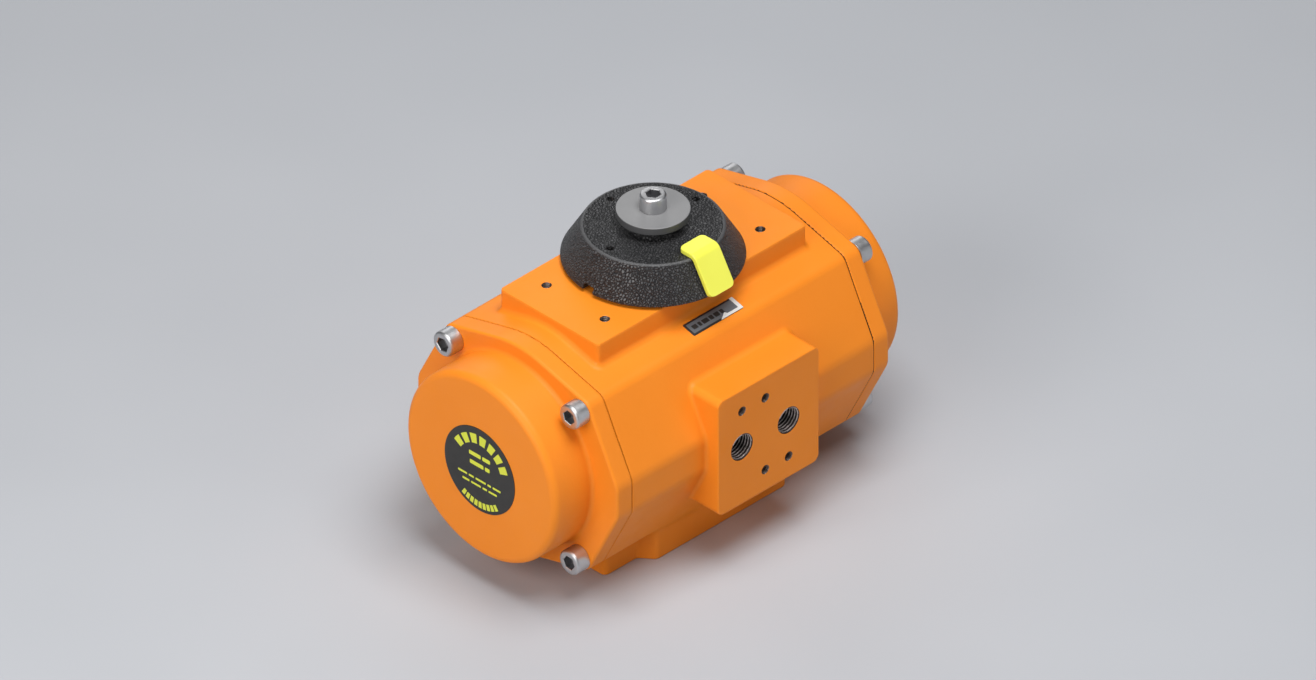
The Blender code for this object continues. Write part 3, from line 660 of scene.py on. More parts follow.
STEP = 0.55
housing = surface_of(
    "housing_shell", housing_field, (-BODY_HALF - 1.63, -60.13, -53.27), (BODY_HALF + 2.0, 54.0, 52.5), STEP
)
def together(*parts):
    """Several separate closed shapes as one mesh, so that one Boolean cuts them all."""
    bm = bmesh.new()
    for part in parts:
        bm.from_mesh(part.data)
        spent = part.data
        bpy.data.objects.remove(part, do_unlink=True)
        bpy.data.meshes.remove(spent)
    mesh = bpy.data.meshes.new("c")
    bm.to_mesh(mesh)
    bm.free()
    obj = bpy.data.objects.new("c", mesh)
    bpy.context.scene.collection.objects.link(obj)
    return obj


cut(housing, cylinder("c", BORE_R, "X", -70, 70, n=160))
low_bore = join(
    cylinder("c", 16.3, "Z", -60, -15, n=96),
    turned("c", [(0, -56), (18.2, -56), (18.2, -AXIS_Z), (17.6, -AXIS_Z + 0.6), (17.6, -AXIS_Z + 3.0), (0, -AXIS_Z + 3.0)], "Z", 96),
)
cut(housing, together(
    cylinder("c", 10.9, "Z", 15, 55, n=96),
    low_bore,
    cylinder("c", 3.0, "Y", -50.0, -28.0, 0, -12.0, 40),
    cylinder("c", 2.5, "X", -70, 70, CHANNEL_Y, CHANNEL_Z, 40),
))
holes = []
for x, deep in ((-12.0, -47.0), (12.0, -40.7)):
    holes.append(join(
        threaded("c", 4.95, 0.72, 1.337, "Y", PORT_Y - 1.0, deep, 0, x, n=72, per=12, mouth="lo"),
        countersink(5.50, 0.2, "Y", PORT_Y, -1, 0, x, 72),
    ))
for x, z in ((-12, 16), (0, 16), (0, -16), (12, -16)):
    holes.append(join(
        threaded("c", 1.75, 0.28, 0.8, "Y", PORT_Y - 1.0, PORT_Y + 9, z, x, n=36, per=6, mouth="lo"),
        countersink(1.95, 0.1, "Y", PORT_Y, -1, z, x, 36),
    ))
for sx in (-1, 1):
    for sy in (-1, 1):
        holes.append(join(
            threaded("c", 1.75, 0.28, 0.8, "Z", PAD - 9, PAD + 1.0, sx * 40.0, sy * 15.0, n=36, per=6, mouth="hi"),
            countersink(1.95, 0.12, "Z", PAD, 1, sx * 40.0, sy * 15.0, 36),
        ))
for k in range(4):
    a = math.radians(45 + 90 * k)
    for r, deep, core, tooth, pitch in ((25.0, 11, 2.5, 0.45, 1.0), (35.0, 13, 3.4, 0.55, 1.25)):
        ca, cb = r * math.cos(a), r * math.sin(a)
        holes.append(join(
            threaded("c", core, tooth, pitch, "Z", -AXIS_Z - 1.0, -AXIS_Z + deep, ca, cb, n=40, per=6, mouth="lo"),
            countersink(core, 0.45, "Z", -AXIS_Z, -1, ca, cb, 40),
        ))
for sx in (-1, 1):
    for sy in (-1, 1):
        for sz in (-1, 1):
            lo, hi = sorted((sx * (BODY_HALF - 15), sx * (BODY_HALF + 2)))
            holes.append(cylinder("c", 3.0, "X", lo, hi, sy * SCREW_Y, sz * SCREW_Z, 32))
cut(housing, together(*holes))
settle(housing, "housing_shell", ORANGE, "housing", ["housing"], 28)


def bare(obj, mat, holes):
    """Faces inside the holes show the cut metal, in a dark brownish colour that paints the shade and the orange paint's
    reflection inside them; holes are (axis, a, b, radius, low, high) in millimetres.
    """
    mesh = obj.data
    mesh.materials.append(mat)
    centre = np.empty(len(mesh.polygons) * 3, np.float32)
    mesh.polygons.foreach_get("center", centre)
    centre = centre.reshape(-1, 3) * 1000.0
    centre[:, 2] -= AXIS_Z
    index = np.zeros(len(mesh.polygons), np.int32)
    for axis, a, b, r, lo, hi in holes:
        p, q, c = {"X": (1, 2, 0), "Y": (2, 0, 1), "Z": (0, 1, 2)}[axis]
        inside = (np.hypot(centre[:, p] - a, centre[:, q] - b) < r) & (centre[:, c] > lo) & (centre[:, c] < hi)
        index[inside] = 1
    mesh.polygons.foreach_set("material_index", index)
    mesh.update()


tapped = [("Y", 0, x, 6.6, PORT_Y + 0.12, -38.0) for x in (-12.0, 12.0)]
tapped += [("Y", z, x, 2.6, PORT_Y + 0.12, -40.0) for x, z in ((-12, 16), (0, 16), (0, -16), (12, -16))]
tapped += [("Z", sx * 40.0, sy * 15.0, 2.6, PAD - 12, PAD - 0.12) for sx in (-1, 1) for sy in (-1, 1)]
for k in range(4):
    a = math.radians(45 + 90 * k)
    tapped += [("Z", r * math.cos(a), r * math.sin(a), 4.2, -AXIS_Z + 0.12, -AXIS_Z + 14) for r in (25.0, 35.0)]
tapped += [("X", 0, 0, BORE_R + 0.05, -61.6, 61.6), ("Z", 0, 0, 11.0, 20, PAD - 0.3), ("Z", 0, 0, 18.3, -AXIS_Z + 0.12, -20)]
tapped += [("X", sy * SCREW_Y, sz * SCREW_Z, 3.1, -70, 70) for sy in (-1, 1) for sz in (-1, 1)]
bare(housing, MACHINED_PAINTED_SHADE, tapped)


def thread_lines(obj, holes, crest_r):
    """In the ports the thread's crests take a light colour as a painted highlight, and its grooves a dark one as
    painted shade.
    """
    obj.data.materials.append(CREST_PAINTED_HIGHLIGHT)
    obj.data.materials.append(GROOVE_PAINTED_SHADE)
    for face in obj.data.polygons:
        if face.material_index != 1:
            continue
        c = face.center * 1000.0
        for x, deep in holes:
            far = math.hypot(c.x - x, c.z - AXIS_Z)
            if far < 5.75 and far > 4.0 and PORT_Y + 0.12 < c.y < deep:
                face.material_index = 2 if far < crest_r else 3


thread_lines(housing, ((-12.0, -47.0), (12.0, -40.7)), 5.22)

# ---- end caps --------------------------------------------------------------------------------
def cap_field(x, y, z):
    r = np.hypot(y, z)
    flange = extruded(body_flat(y, z), np.maximum(x - FLANGE_OUT, 50.0 - x), 1.1)
    barrel = extruded(r - CAP_R, np.maximum(x - CAP_END, 50.0 - x), 3.0)
    out = filleted(flange, barrel, 1.6)
    return np.maximum(out, CAP_IN - x)


cap = surface_of("cap", cap_field, (CAP_IN - 1.37, -53.2, -47.1), (CAP_END + 1.2, 53.3, 47.3), 0.5)
cut(
    cap,
    turned("c", [(0, 55), (CAP_BORE_R, 55), (CAP_BORE_R, 83.1), (31.2, 85.1), (0, 85.1)], "X", 144),
    turned("c", [(34.7, 60), (37.3, 60), (37.3, 64.4), (34.7, 64.4)], "X", 128),
    cylinder("c", 4.4, "X", 60, 63.9, CHANNEL_Y, CHANNEL_Z, 40),
    cylinder("c", 2.5, "X", 60, 66.6, CHANNEL_Y, CHANNEL_Z, 32),
)
for sy in (-1, 1):
    for sz in (-1, 1):
        cut(cap, cylinder("c", 3.3, "X", 60, 75, sy * SCREW_Y, sz * SCREW_Z, 40))
direction = Vector((0, -CHANNEL_Y, -CHANNEL_Z)).normalized()
drill = cylinder("c", 1.7, "Z", -0.4, 13.5, n=24)
drill.data.transform(
    Matrix.Translation(Vector((66.7, CHANNEL_Y, CHANNEL_Z))) @ Vector((0, 0, 1)).rotation_difference(direction).to_matrix().to_4x4()
)
cut(cap, drill)
cap_left = copy_of(cap, "cap_shell_left", MIRROR_X)
settle(cap, "cap_shell_right", ORANGE_CAP, "housing", ["end_cap_right"], 28)
settle(cap_left, "cap_shell_left", ORANGE_CAP, "housing", ["end_cap_left"], 28)
for obj, side in ((cap, 1), (cap_left, -1)):
    lo, hi = sorted((side * (CAP_IN + 0.1), side * 85.6))
    near = sorted((side * (CAP_IN - 0.2), side * (CAP_IN + 0.15)))
    bare(obj, MACHINED_PAINTED_SHADE, [("X", 0, 0, CAP_BORE_R + 0.05, lo, hi), ("X", 0, 0, 60.0, *near)])


# ---- socket-head screws ------------------------------------------------------------------------
def socket_screw(name, axis, tip, seat, head_top, head_r, shank_r, socket_af, socket_floor):
    profile = soft_profile([
        (0, tip, 0), (shank_r - 0.5, tip, 0), (shank_r, tip + 0.5, 0), (shank_r, seat, 0), (head_r, seat, 0.12),
        (head_r, head_top, 1.0), (0, head_top, 0),
    ], 5)
    made = turned(name, profile, axis, 72)
    af = socket_af / math.sqrt(3)
    hexagon = circle(af, 6, 0.0)
    wide = circle(af + 0.35, 6, 0.0)
    cut(made, loft("c", [(socket_floor, hexagon), (head_top - 0.25, hexagon), (head_top + 0.05, wide), (head_top + 2, wide)], axis))
    cut(made, turned("c", [(0, socket_floor - 0.9), (socket_af / 2 - 0.15, socket_floor + 0.1), (0, socket_floor + 0.1)], axis, 48))
    return made


def paint_socket_shade(obj, axis, r, top):
    """The hex's walls and floor take a darker colour than the turned head, painted shade in the recess; top is where
    the socket opens.
    """
    obj.data.materials.append(SOCKET_PAINTED_SHADE)
    for face in obj.data.polygons:
        c = face.center * 1000.0
        c.z -= AXIS_Z
        if axis == "X":
            c = Vector((abs(c.x), abs(c.y) - SCREW_Y, abs(c.z) - SCREW_Z))
            far, along = math.hypot(c.y, c.z), c.x
        else:
            far, along = math.hypot(c.x, c.y), c.z
        if far < r and along < top - 0.12 and along > top - 4.6:
            face.material_index = 1


screw = socket_screw("screw", "X", 50.5, 70.08, 76.0, 5.05, 2.7, 5.0, 72.8)
turns = (0.21, 0.83, 0.55, 0.08, 0.64, 0.33, 0.95, 0.47)
for side, name in ((-1, "left"), (1, "right")):
    for number, (sy, sz) in enumerate(((-1, 1), (1, 1), (1, -1), (-1, -1)), 1):
        spin = Matrix.Rotation(turns[number - 1 + (4 if side > 0 else 0)] * math.pi / 3, 4, "X")
        matrix = Matrix.Translation(Vector((0, sy * SCREW_Y, sz * SCREW_Z))) @ (MIRROR_X if side < 0 else Matrix.Identity(4)) @ spin
        made = copy_of(screw, "s", matrix)
        settle(made, f"socket_screw_{name}_{number}", STAINLESS, "housing", [f"cap_screw_{name}_{number}"])
        paint_socket_shade(made, "X", 3.05, 76.0)
bpy.data.objects.remove(screw, do_unlink=True)

# ---- indicator dome -------------------------------------------------------------------------------
P = PAD
dome = turned(
    "dome",
    soft_profile([
        (0, P + 18.8, 0), (9.8, P + 18.8, 0.4), (9.8, P + DOME_HIGH, 0.6), (DOME_TOP_R + 0.6, P + DOME_HIGH, 1.3),
        (DOME_BASE_R, P + 2.1, 0.7), (DOME_BASE_R, P + DOME_LOW, 0.2), (31.2, P + DOME_LOW, 0.2), (23.7, P + 12.4, 1.0),
        (13.6, P + 12.4, 1.0), (13.6, P + 4.6, 0.3), (0, P + 4.6, 0),
    ], 7),
    "Z", 192,
)


def two_flats(r, flat, n=24):
    limit = math.acos(flat / r)
    reach = math.pi / 2 - limit
    out = []
    for middle in (math.pi / 2, -math.pi / 2):
        out += [(r * math.cos(middle - reach + 2 * reach * i / n), r * math.sin(middle - reach + 2 * reach * i / n)) for i in range(n + 1)]
    return out


cut(dome, prism("c", two_flats(7.3, 5.8), "Z", P, P + 25))
for k in range(4):
    a = math.pi / 2 * k
    cut(dome, cylinder("c", 1.5, "Z", P + 10, P + 20, 22 * math.cos(a), 22 * math.sin(a), 40))
    notch = prism("c", rounded([(-2.5, P - 1, 0), (2.5, P - 1, 0), (2.5, P + DOME_LOW + 2.4, 0.8), (-2.5, P + DOME_LOW + 2.4, 0.8)], 5), "X", 27.0, 40.0)
    notch.data.transform(Matrix.Rotation(a, 4, "Z"))
    cut(dome, notch)
settle(dome, "dome_shell", DOME, "shaft", ["indicator_dome"], 28)

# ---- pointer: a strip bent over the rim ----------------------------------------------------------------
slope = math.atan2(DOME_HIGH - 3.1, DOME_BASE_R - DOME_TOP_R - 1.1)
TAB_W, TAB_T = 12.5, 2.0
bend_r = 1.6
rim = DOME_TOP_R + 0.6
foot_r = 34.4
top_len = rim - 19.3
foot_len = (foot_r - rim) / math.cos(slope)
arc = bend_r * slope
reach = bend_r * math.tan(slope / 2)
total = top_len - reach + arc + foot_len - reach


def along(s):
    """Place and outward normal of the strip's underside, as (out, z) pairs, at arc length s."""
    flat = top_len - reach
    z0 = P + DOME_HIGH + 0.12
    if s <= flat:
        return (19.3 + s, z0), (0.0, 1.0)
    if s <= flat + arc:
        t = (s - flat) / bend_r
        c = (19.3 + flat, z0 - bend_r)
        return (c[0] + bend_r * math.sin(t), c[1] + bend_r * math.cos(t)), (math.sin(t), math.cos(t))
    t = s - flat - arc
    c = (19.3 + flat + bend_r * math.sin(slope), z0 - bend_r + bend_r * math.cos(slope))
    return (c[0] + t * math.cos(slope), c[1] - t * math.sin(slope)), (math.sin(slope), math.cos(slope))


def strip(name):
    corner, edge, cols = 2.0, 0.35, 120
    stations = [total * i / cols for i in range(cols + 1)]
    section_n = 6
    verts, faces, rings = [], [], []
    for s in stations:
        near = min(s, total - s)
        half = TAB_W / 2
        if near < corner:
            half = TAB_W / 2 - corner + math.sqrt(max(0.0, corner ** 2 - (corner - near) ** 2))
        ring = []
        for sx, sz in ((-1, 0), (1, 0), (1, 1), (-1, 1)):
            for q in range(section_n + 1):
                t = math.pi / 2 * q / section_n
                if (sx, sz) == (-1, 0):
                    ang = math.pi + t
                elif (sx, sz) == (1, 0):
                    ang = 1.5 * math.pi + t
                elif (sx, sz) == (1, 1):
                    ang = t
                else:
                    ang = math.pi / 2 + t
                # the section's corners are eased by the edge radius
                e = min(edge, 0.999 * TAB_T / 2)
                px = sx * (half - e) + e * math.cos(ang)
                pz = (TAB_T - e if sz else e) + e * math.sin(ang)
                ring.append((px, pz))
        (out, z), (nx, nz) = along(s)
        rings.append(len(verts))
        for px, pz in ring:
            verts.append((px, -(out + nx * pz), z + nz * pz))
    m = 4 * (section_n + 1)
    for k in range(len(stations) - 1):
        for i in range(m):
            j = (i + 1) % m
            faces.append([rings[k] + i, rings[k] + j, rings[k + 1] + j, rings[k + 1] + i])
    faces.append([rings[0] + i for i in range(m)][::-1])
    faces.append([rings[-1] + i for i in range(m)])
    return raw(name, verts, faces)


tab = strip("tab")
join(tab, cylinder("c", 1.35, "Z", P + 12.8, P + DOME_HIGH + 1.0, 0, -22, 32))
settle(tab, "pointer_tab", YELLOW, "shaft", ["indicator_pointer"], 35)

# ---- disc and screw on the shaft end ---------------------------------------------------------------------
disc = turned(
    "disc",
    soft_profile([
        (3.3, P + 20.15, 0), (8.0, P + 20.15, 0.1), (8.0, P + 19.1, 0.2), (13.7, P + 19.1, 0.35), (13.7, P + 22.1, 0.35),
        (3.3, P + 22.1, 0.25),
    ], 5),
    "Z", 144,
)
settle(disc, "top_disc_turned", GREY, "shaft", ["top_disc"])
# faces turned away from the top light take the darker grey as painted shade
disc.data.materials.append(GREY_PAINTED_SHADE)
for face in disc.data.polygons:
    if face.normal.z < 0.55 and math.hypot(face.center.x, face.center.y) > 0.008:
        face.material_index = 1
bolt = socket_screw("bolt", "Z", P + 10.0, P + 22.14, P + 28.4, 5.0, 2.7, 5.0, P + 25.0)
settle(bolt, "top_socket_screw", STAINLESS, "shaft", ["top_screw"])
paint_socket_shade(bolt, "Z", 3.05, P + 28.4)


# ---- labels ------------------------------------------------------------------------------------------------
def arc_band(name, r0, r1, a0, a1, c0, c1, n=12, cb=-0.5):
    """A band between two radii on the left cap's face, angles in degrees from +Y towards +Z, seen from -X."""
    pts = []
    for i in range(n + 1):
        a = math.radians(a0 + (a1 - a0) * i / n)
        pts.append((-r1 * math.cos(a), cb + r1 * math.sin(a)))
    for i in range(n, -1, -1):
        a = math.radians(a0 + (a1 - a0) * i / n)
        pts.append((-r0 * math.cos(a), cb + r0 * math.sin(a)))
    return prism(name, pts, "X", c0, c1)


face_x = -CAP_END
disc_label = turned("label", soft_profile([(0, face_x - 0.26, 0), (18.0, face_x - 0.26, 0.08), (18.0, face_x - 0.02, 0), (0, face_x - 0.02, 0)], 3), "X", 144, 0, -0.5)
settle(disc_label, "round_label", LABEL_BLACK, "housing", ["cap_label"])
p0, p1 = face_x - 0.31, face_x - 0.2


def bar(y0, y1, z, tall):
    """A plain printed bar on the round label; y0 and y1 run to the viewer's right."""
    cz = z - 0.5
    ring = rounded([(-y0, cz - tall / 2, 0.25 * tall), (-y1, cz - tall / 2, 0.25 * tall), (-y1, cz + tall / 2, 0.25 * tall), (-y0, cz + tall / 2, 0.25 * tall)], 3)
    return prism("p", ring, "X", p0, p1)


prints = []
for k in range(7):
    middle = 142.5 - 19.6 * k
    prints.append(arc_band("p", 11.2, 15.2, middle - 6.6, middle + 6.6, p0, p1))
for k in range(9):
    middle = 239.5 + 7.9 * k
    prints.append(arc_band("p", 14.0, 16.6, middle - 2.9, middle + 2.9, p0, p1, 4))
prints += [bar(-5.4, 0.6, 5.8, 1.7), bar(1.4, 5.4, 5.8, 1.7), bar(-5.0, 2.0, 1.9, 1.7), bar(2.8, 5.2, 1.9, 1.7)]
x = -11.0
for length in (4.6, 2.6, 5.2, 1.8, 4.0):
    prints.append(bar(x, x + length, -4.6, 0.85))
    x += length + 0.9
x = -8.8
for length in (3.6, 5.0, 2.2, 4.2):
    prints.append(bar(x, x + length, -7.2, 0.85))
    x += length + 0.9
settle(together(*prints), "round_label_print", LABEL_YELLOW, "housing", ())

tilt = math.radians(ROOF_TILT)
roof_y = -30.8
roof_z = (CROWN_R - (-roof_y) * math.sin(tilt)) / math.cos(tilt)
ON_ROOF = Matrix.Translation(Vector((0, roof_y, roof_z))) @ Matrix.Rotation(tilt, 4, "X")


def plate_ring(inset, z, x0=-12.7, x1=12.7, y0=-3.175, y1=3.175, r=0.45):
    return z, rounded([(x0 + inset, y0 + inset, r), (x1 - inset, y0 + inset, r), (x1 - inset, y1 - inset, r), (x0 + inset, y1 - inset, r)], 4)


def on_roof(obj):
    obj.data.transform(ON_ROOF)
    return obj


backing = on_roof(loft("plate", [plate_ring(0.0, 0.02), plate_ring(0.0, 0.24), plate_ring(0.10, 0.31)], "Z"))
settle(backing, "position_plate", LABEL_BLACK, "housing", ["position_label"], 25, weighted=False)
panel = on_roof(loft("field", [plate_ring(0.80, 0.26, r=0.3), plate_ring(0.80, 0.335, r=0.3), plate_ring(0.86, 0.36, r=0.3)], "Z"))
settle(panel, "position_plate_field", LABEL_GREY, "housing", (), 25)
# the bright corner, a painted highlight standing for the metal frame's reflection: a bar along the right end, narrowing
# along the lower edge
corner = [
    (11.0, 3.10), (12.62, 3.10), (12.62, -3.10), (1.2, -3.10), (4.8, -0.9), (5.6, -1.9), (11.0, -1.9),
]
bright = on_roof(prism("bright", rounded([(x, y, 0.12) for x, y in corner[::-1]], 3), "Z", 0.28, 0.395))
settle(bright, "position_plate_painted_glint", LABEL_PAINTED_GLINT, "housing", (), 25)
marks = []
x = -10.6
for length in (2.4, 1.4, 3.0, 1.8, 2.4, 1.6):
    ring = rounded([(x, -1.0, 0.3), (x + length, -1.0, 0.3), (x + length, 1.0, 0.3), (x, 1.0, 0.3)], 3)
    marks.append(prism("m", ring, "Z", 0.33, 0.39))
    x += length + 0.65
marks = on_roof(together(*marks))
settle(marks, "position_plate_marks", LABEL_BLACK, "housing", (), 25)


# ---- springs -------------------------------------------------------------------------------------------
def coil(name, mean_r, wire_r, turns, x0, x1, hand, start, per_turn=36, m=12):
    """A compression coil with a closed turn at each end."""
    count = int(turns * per_turn)
    verts, faces = [], []
    lo, hi = x0 + wire_r, x1 - wire_r
    closed = 0.75
    for s in range(count + 1):
        t = turns * s / count
        inner = min(max((t - closed) / (turns - 2 * closed), 0.0), 1.0)
        ends = min(t, closed) + max(t - (turns - closed), 0.0)
        rise = 0.55 * wire_r * 2
        x = lo + rise * ends / (2 * closed) + (hi - lo - rise) * inner
        angle = start + hand * 2 * math.pi * t
        out = Vector((0, math.cos(angle), math.sin(angle)))
        centre = Vector((x, 0, 0)) + out * mean_r
        for k in range(m):
            b = 2 * math.pi * k / m
            verts.append(centre + out * (wire_r * math.cos(b)) + Vector((wire_r * math.sin(b), 0, 0)))
    for s in range(count):
        for k in range(m):
            j = (k + 1) % m
            faces.append([s * m + k, s * m + j, (s + 1) * m + j, (s + 1) * m + k])
    faces.append(list(range(m))[::-1])
    faces.append([count * m + k for k in range(m)])
    return raw(name, verts, faces)


seat, floor_x = SPRING_SEAT + 0.3, CAP_END - 4.3
for side, name in ((-1, "left"), (1, "right")):
    for label, args in (("outer", (23.2, 2.0, 5.75, seat, floor_x, 1, 0.3)), ("inner", (14.0, 1.5, 6.75, seat, floor_x, -1, 1.1))):
        made = coil("s", *args)
        if side < 0:
            made.data.transform(HALF_TURN)
        settle(made, f"coil_spring_{label}_{name}", SPRING, "housing", [f"spring_{label}_{name}"], 50)
        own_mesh(made)

# ---- pistons with their racks ------------------------------------------------------------------------------
PITCH = math.pi * MODULE
PITCH_R = MODULE * TEETH / 2
flank = math.tan(math.radians(PRESSURE))
tip_y, root_y = PITCH_R - MODULE, PITCH_R + 1.25 * MODULE
half = PITCH / 4 - BACKLASH / 4
teeth_line = []
for k in range(-2, 5):
    x = (k + 0.5) * PITCH
    teeth_line += [
        (x - half - flank * (root_y - PITCH_R), root_y, 0.35), (x - half + flank * (PITCH_R - tip_y), tip_y, 0.2),
        (x + half - flank * (PITCH_R - tip_y), tip_y, 0.2), (x + half + flank * (root_y - PITCH_R), root_y, 0.35),
    ]
rack_line = rounded(
    [(-CROWN_IN - 1.5, root_y, 0)] + teeth_line + [(RACK_END, root_y, 0.4), (RACK_END, 36.0, 0), (-CROWN_IN - 1.5, 36.0, 0)], 3
)
rack = prism("rack", rack_line, "Z", -RACK_HALF_Z, RACK_HALF_Z)
boolean(rack, cylinder("c", 31.4, "X", -60, 60, n=128), "INTERSECT")


def arc_slab(r0, r1, half_z, n=16):
    out = []
    for r, order in ((r0, range(n + 1)), (r1, range(n, -1, -1))):
        limit = math.asin(half_z / r)
        out += [(r * math.cos(-limit + 2 * limit * i / n), r * math.sin(-limit + 2 * limit * i / n)) for i in order]
    return out


cut(rack, prism("c", arc_slab(30.2, 34.0, 7.3), "X", 3.7, 22.3))
crown = turned(
    "crown",
    soft_profile([
        (0, -CROWN_IN, 0), (PISTON_R, -CROWN_IN, 0.7), (PISTON_R, -28.2, 0.12), (30.2, -28.2, 0.1),
        (30.2, -31.0, 0.1), (PISTON_R, -31.0, 0.12), (PISTON_R, -32.0, 0.12), (31.3, -32.0, 0.05), (31.3, -35.0, 0.05), (PISTON_R, -35.0, 0.12),
        (PISTON_R, -CROWN_OUT, 0.25), (26.5, -CROWN_OUT, 0.4), (26.2, -SPRING_SEAT, 0.6), (0, -SPRING_SEAT, 0),
    ], 4),
    "X", 144,
)
join(crown, rack)
piston_right = copy_of(crown, "piston_body_right", HALF_TURN)
settle(crown, "piston_body_left", ALUMINIUM, "piston_left", ["piston_left"])
settle(piston_right, "piston_body_right", ALUMINIUM, "piston_right", ["piston_right"])


def o_ring(name, mean_r, section_r, axis, c, mat, body, node, n=128, m=16, ca=0.0, cb=0.0):
    made = turned(name, [(mean_r + section_r * math.cos(2 * math.pi * k / m), c + section_r * math.sin(2 * math.pi * k / m)) for k in range(m)], axis, n, ca, cb)
    return settle(made, name, mat, body, [node], 60)


for side, name in ((-1, "left"), (1, "right")):
    o_ring(f"piston_seal_{name}", 31.5, 1.1, "X", side * 29.6, RUBBER, f"piston_{name}", f"piston_o_ring_{name}")
    o_ring(f"cap_seal_{name}", 36.0, 0.8, "X", side * 63.3, RUBBER, "housing", f"cap_o_ring_{name}")
    o_ring(f"channel_ring_{name}", 3.4, 0.65, "X", side * 63.1, RUBBER, "housing", f"channel_seal_{name}", 40, 12, CHANNEL_Y, CHANNEL_Z)
    lo, hi = sorted((side * 32.3, side * 34.7))
    band = turned("s", soft_profile([(31.6, lo, 0.15), (32.8, lo, 0.3), (32.8, hi, 0.3), (31.6, hi, 0.15)], 3), "X", 144)
    settle(band, f"guide_band_{name}", BEARING, f"piston_{name}", [f"piston_guide_band_{name}"])
    shoe = prism("s", arc_slab(30.5, 32.7, 7.0, 24), "X", 4.0, 22.0)
    if side > 0:
        shoe.data.transform(HALF_TURN)
    settle(shoe, f"rack_shoe_{name}", BEARING, f"piston_{name}", [f"rack_guide_{name}"])
o_ring("shaft_seal_lower", 14.9, 1.1, "Z", -45.3, RUBBER, "shaft", "lower_shaft_o_ring")
o_ring("shaft_seal_upper", 9.45, 1.1, "Z", 42.8, RUBBER, "shaft", "upper_shaft_o_ring")


# ---- pinion shaft -------------------------------------------------------------------------------------------
def gear_line():
    base_r = PITCH_R * math.cos(math.radians(PRESSURE))
    outer_r, root_r = PITCH_R + MODULE, PITCH_R - 1.25 * MODULE

    def inv(r):
        t = math.acos(min(1.0, base_r / r))
        return math.tan(t) - t

    half_angle = (PITCH / 4 - BACKLASH / 4) / PITCH_R
    out = []
    for k in range(TEETH):
        middle = math.pi / 2 + 2 * math.pi * k / TEETH
        radii = [root_r, root_r + 0.3] + [base_r + (outer_r - base_r) * q / 8 for q in range(9)]
        side = [(r, half_angle + inv(PITCH_R) - (inv(r) if r > base_r else 0.0)) for r in radii]
        out += [(r * math.cos(middle - t), r * math.sin(middle - t)) for r, t in side]
        out += [(r * math.cos(middle + t), r * math.sin(middle + t)) for r, t in side[::-1]]
    return out


pinion = prism("pinion", gear_line(), "Z", -9.5, 9.5)
join(
    pinion,
    turned("lower", soft_profile([
        (0, -50.4, 0), (15.9, -50.4, 0.5), (15.9, -46.6, 0.12), (13.5, -46.6, 0.1), (13.5, -44.0, 0.1), (15.9, -44.0, 0.12),
        (15.9, -42.2, 0.2), (14.0, -42.2, 0.2), (14.0, -9.4, 0), (0, -9.4, 0),
    ], 4), "Z", 112),
    turned("upper", soft_profile([
        (0, 9.4, 0), (9.0, 9.4, 0), (9.0, 41.4, 0.1), (8.0, 41.4, 0.1), (8.0, 44.2, 0.1), (9.0, 44.2, 0.1), (9.0, 51.3, 0.1),
        (7.9, 51.3, 0.1), (7.9, 53.0, 0.1), (9.0, 53.0, 0.1), (9.0, 54.1, 0.2), (0, 54.1, 0),
    ], 4), "Z", 96),
    prism("top_end", two_flats(7.0, 5.5), "Z", 54.0, PAD + 20.0),
)
star = box("c", -7.0, 7.0, -7.0, 7.0, -60, -50.4 + 18.0)
other = box("c", -7.0, 7.0, -7.0, 7.0, -60.5, -50.4 + 18.02)
other.data.transform(Matrix.Rotation(math.pi / 4, 4, "Z"))
join(star, other)
cut(pinion, star, cylinder("c", 3.0, "Z", PAD + 8.0, 80, n=48), box("c", -2.0, 2.0, -10, 10, PAD + 16.0, 80))
settle(pinion, "pinion_turned", STEEL, "shaft", ["pinion_shaft"], 25)

# ---- the CAD's own small rings and bushes, refinished ---------------------------------------------------------
FINISH = {
    "lower_bush": BEARING, "upper_bush": BEARING, "thrust_washer": BEARING, "retaining_ring": BLACK_STEEL,
}
for name, mat in FINISH.items():
    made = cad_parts[name]
    made.data.materials.clear()
    made.data.materials.append(mat)

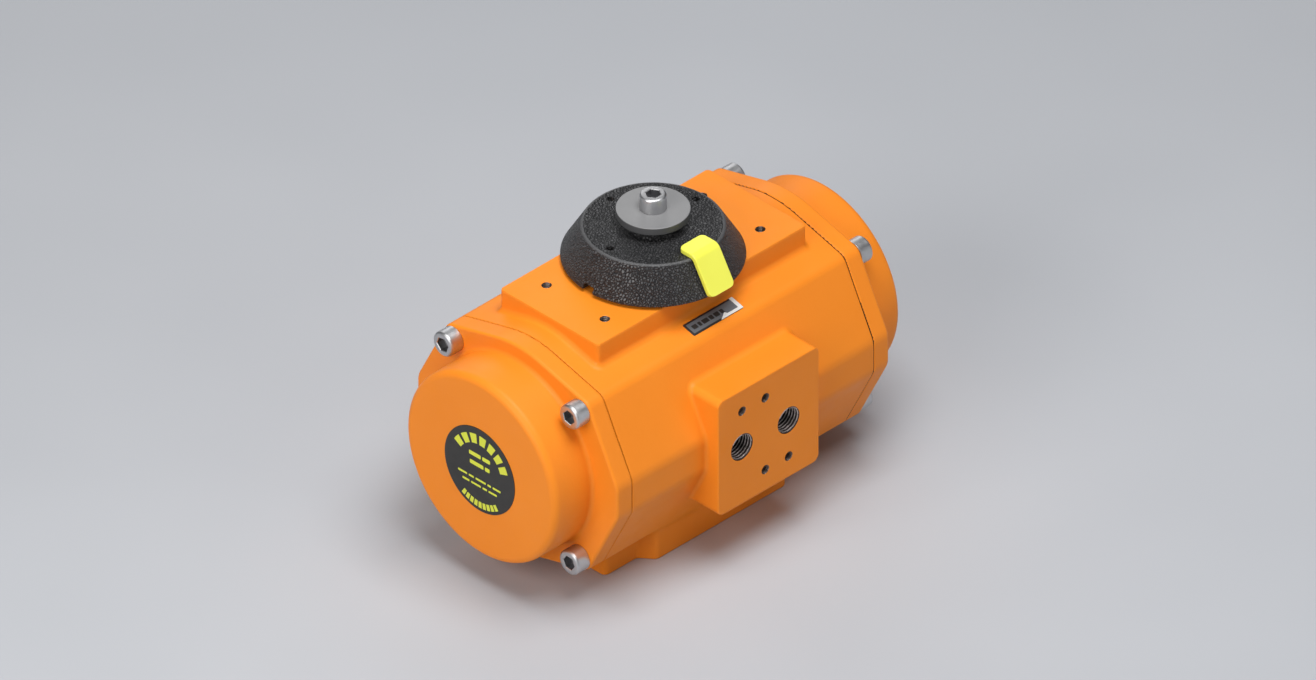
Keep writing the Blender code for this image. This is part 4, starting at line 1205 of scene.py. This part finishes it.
# ---- floor, light and camera ------------------------------------------------------------------------------------
mat, tree, shader = new_material("studio_floor")
tone = noise(tree, 6.0, 2.0).outputs["Fac"]
tree.links.new(ramp(tree, tone, [(0.3, (0.44, 0.455, 0.485)), (0.7, (0.465, 0.48, 0.51))]), shader.inputs["Base Color"])
shader.inputs["Roughness"].default_value = 0.8
floor = raw("studio_floor", [(-4, -4, 0), (4, -4, 0), (4, 4, 0), (-4, 4, 0)], [[0, 1, 2, 3]], tidy=False)
floor.data.materials.append(mat)

world = bpy.data.worlds.new("studio")
bpy.context.scene.world = world
world.use_nodes = True
world.node_tree.nodes["Background"].inputs["Color"].default_value = (0.92, 0.95, 1.0, 1.0)
world.node_tree.nodes["Background"].inputs["Strength"].default_value = 0.08

FOCUS = Vector((0.0, 0.0, 0.05))


def softbox(name, direction, distance, size, power, color=(1.0, 1.0, 1.0)):
    light = bpy.data.lights.new(name, "AREA")
    light.shape = "RECTANGLE"
    light.size, light.size_y = size
    light.energy = power
    light.color = color
    obj = bpy.data.objects.new(name, light)
    bpy.context.scene.collection.objects.link(obj)
    direction = Vector(direction).normalized()
    obj.location = FOCUS + direction * distance
    obj.rotation_euler = (-direction).to_track_quat("-Z", "Y").to_euler()
    return obj


softbox("key", (-1.0, -0.12, 0.50), 1.2, (0.8, 0.8), 8.8, (1.0, 0.985, 0.96))
softbox("top", (-0.05, -0.22, 1.0), 1.2, (0.75, 0.75), 14.5)
softbox("fill", (0.35, -1.0, 0.25), 1.5, (1.0, 0.8), 2.2, (0.96, 0.98, 1.0))
softbox("rim", (0.7, 1.0, 0.6), 1.4, (0.9, 0.5), 3.0)

camera_data = bpy.data.cameras.new("camera")
camera_data.type = "ORTHO"
camera_data.ortho_scale = 0.4791
camera_data.clip_end = 20.0
camera = bpy.data.objects.new("camera", camera_data)
bpy.context.scene.collection.objects.link(camera)
azimuth, elevation = math.radians(-45.0), math.atan(1 / math.sqrt(2))
away = Vector((math.sin(azimuth) * math.cos(elevation), -math.cos(azimuth) * math.cos(elevation), math.sin(elevation)))
right = Vector((1, -1, 0)).normalized()
up = right.cross(-away).normalized()
middle = Vector((0, 0, 0.0512)) + right * 0.00177 + up * 0.0105
camera.location = middle + away * 2.0
camera.rotation_euler = (-away).to_track_quat("-Z", "Y").to_euler()
bpy.context.scene.camera = camera
bpy.context.scene.view_settings.view_transform = "Standard"
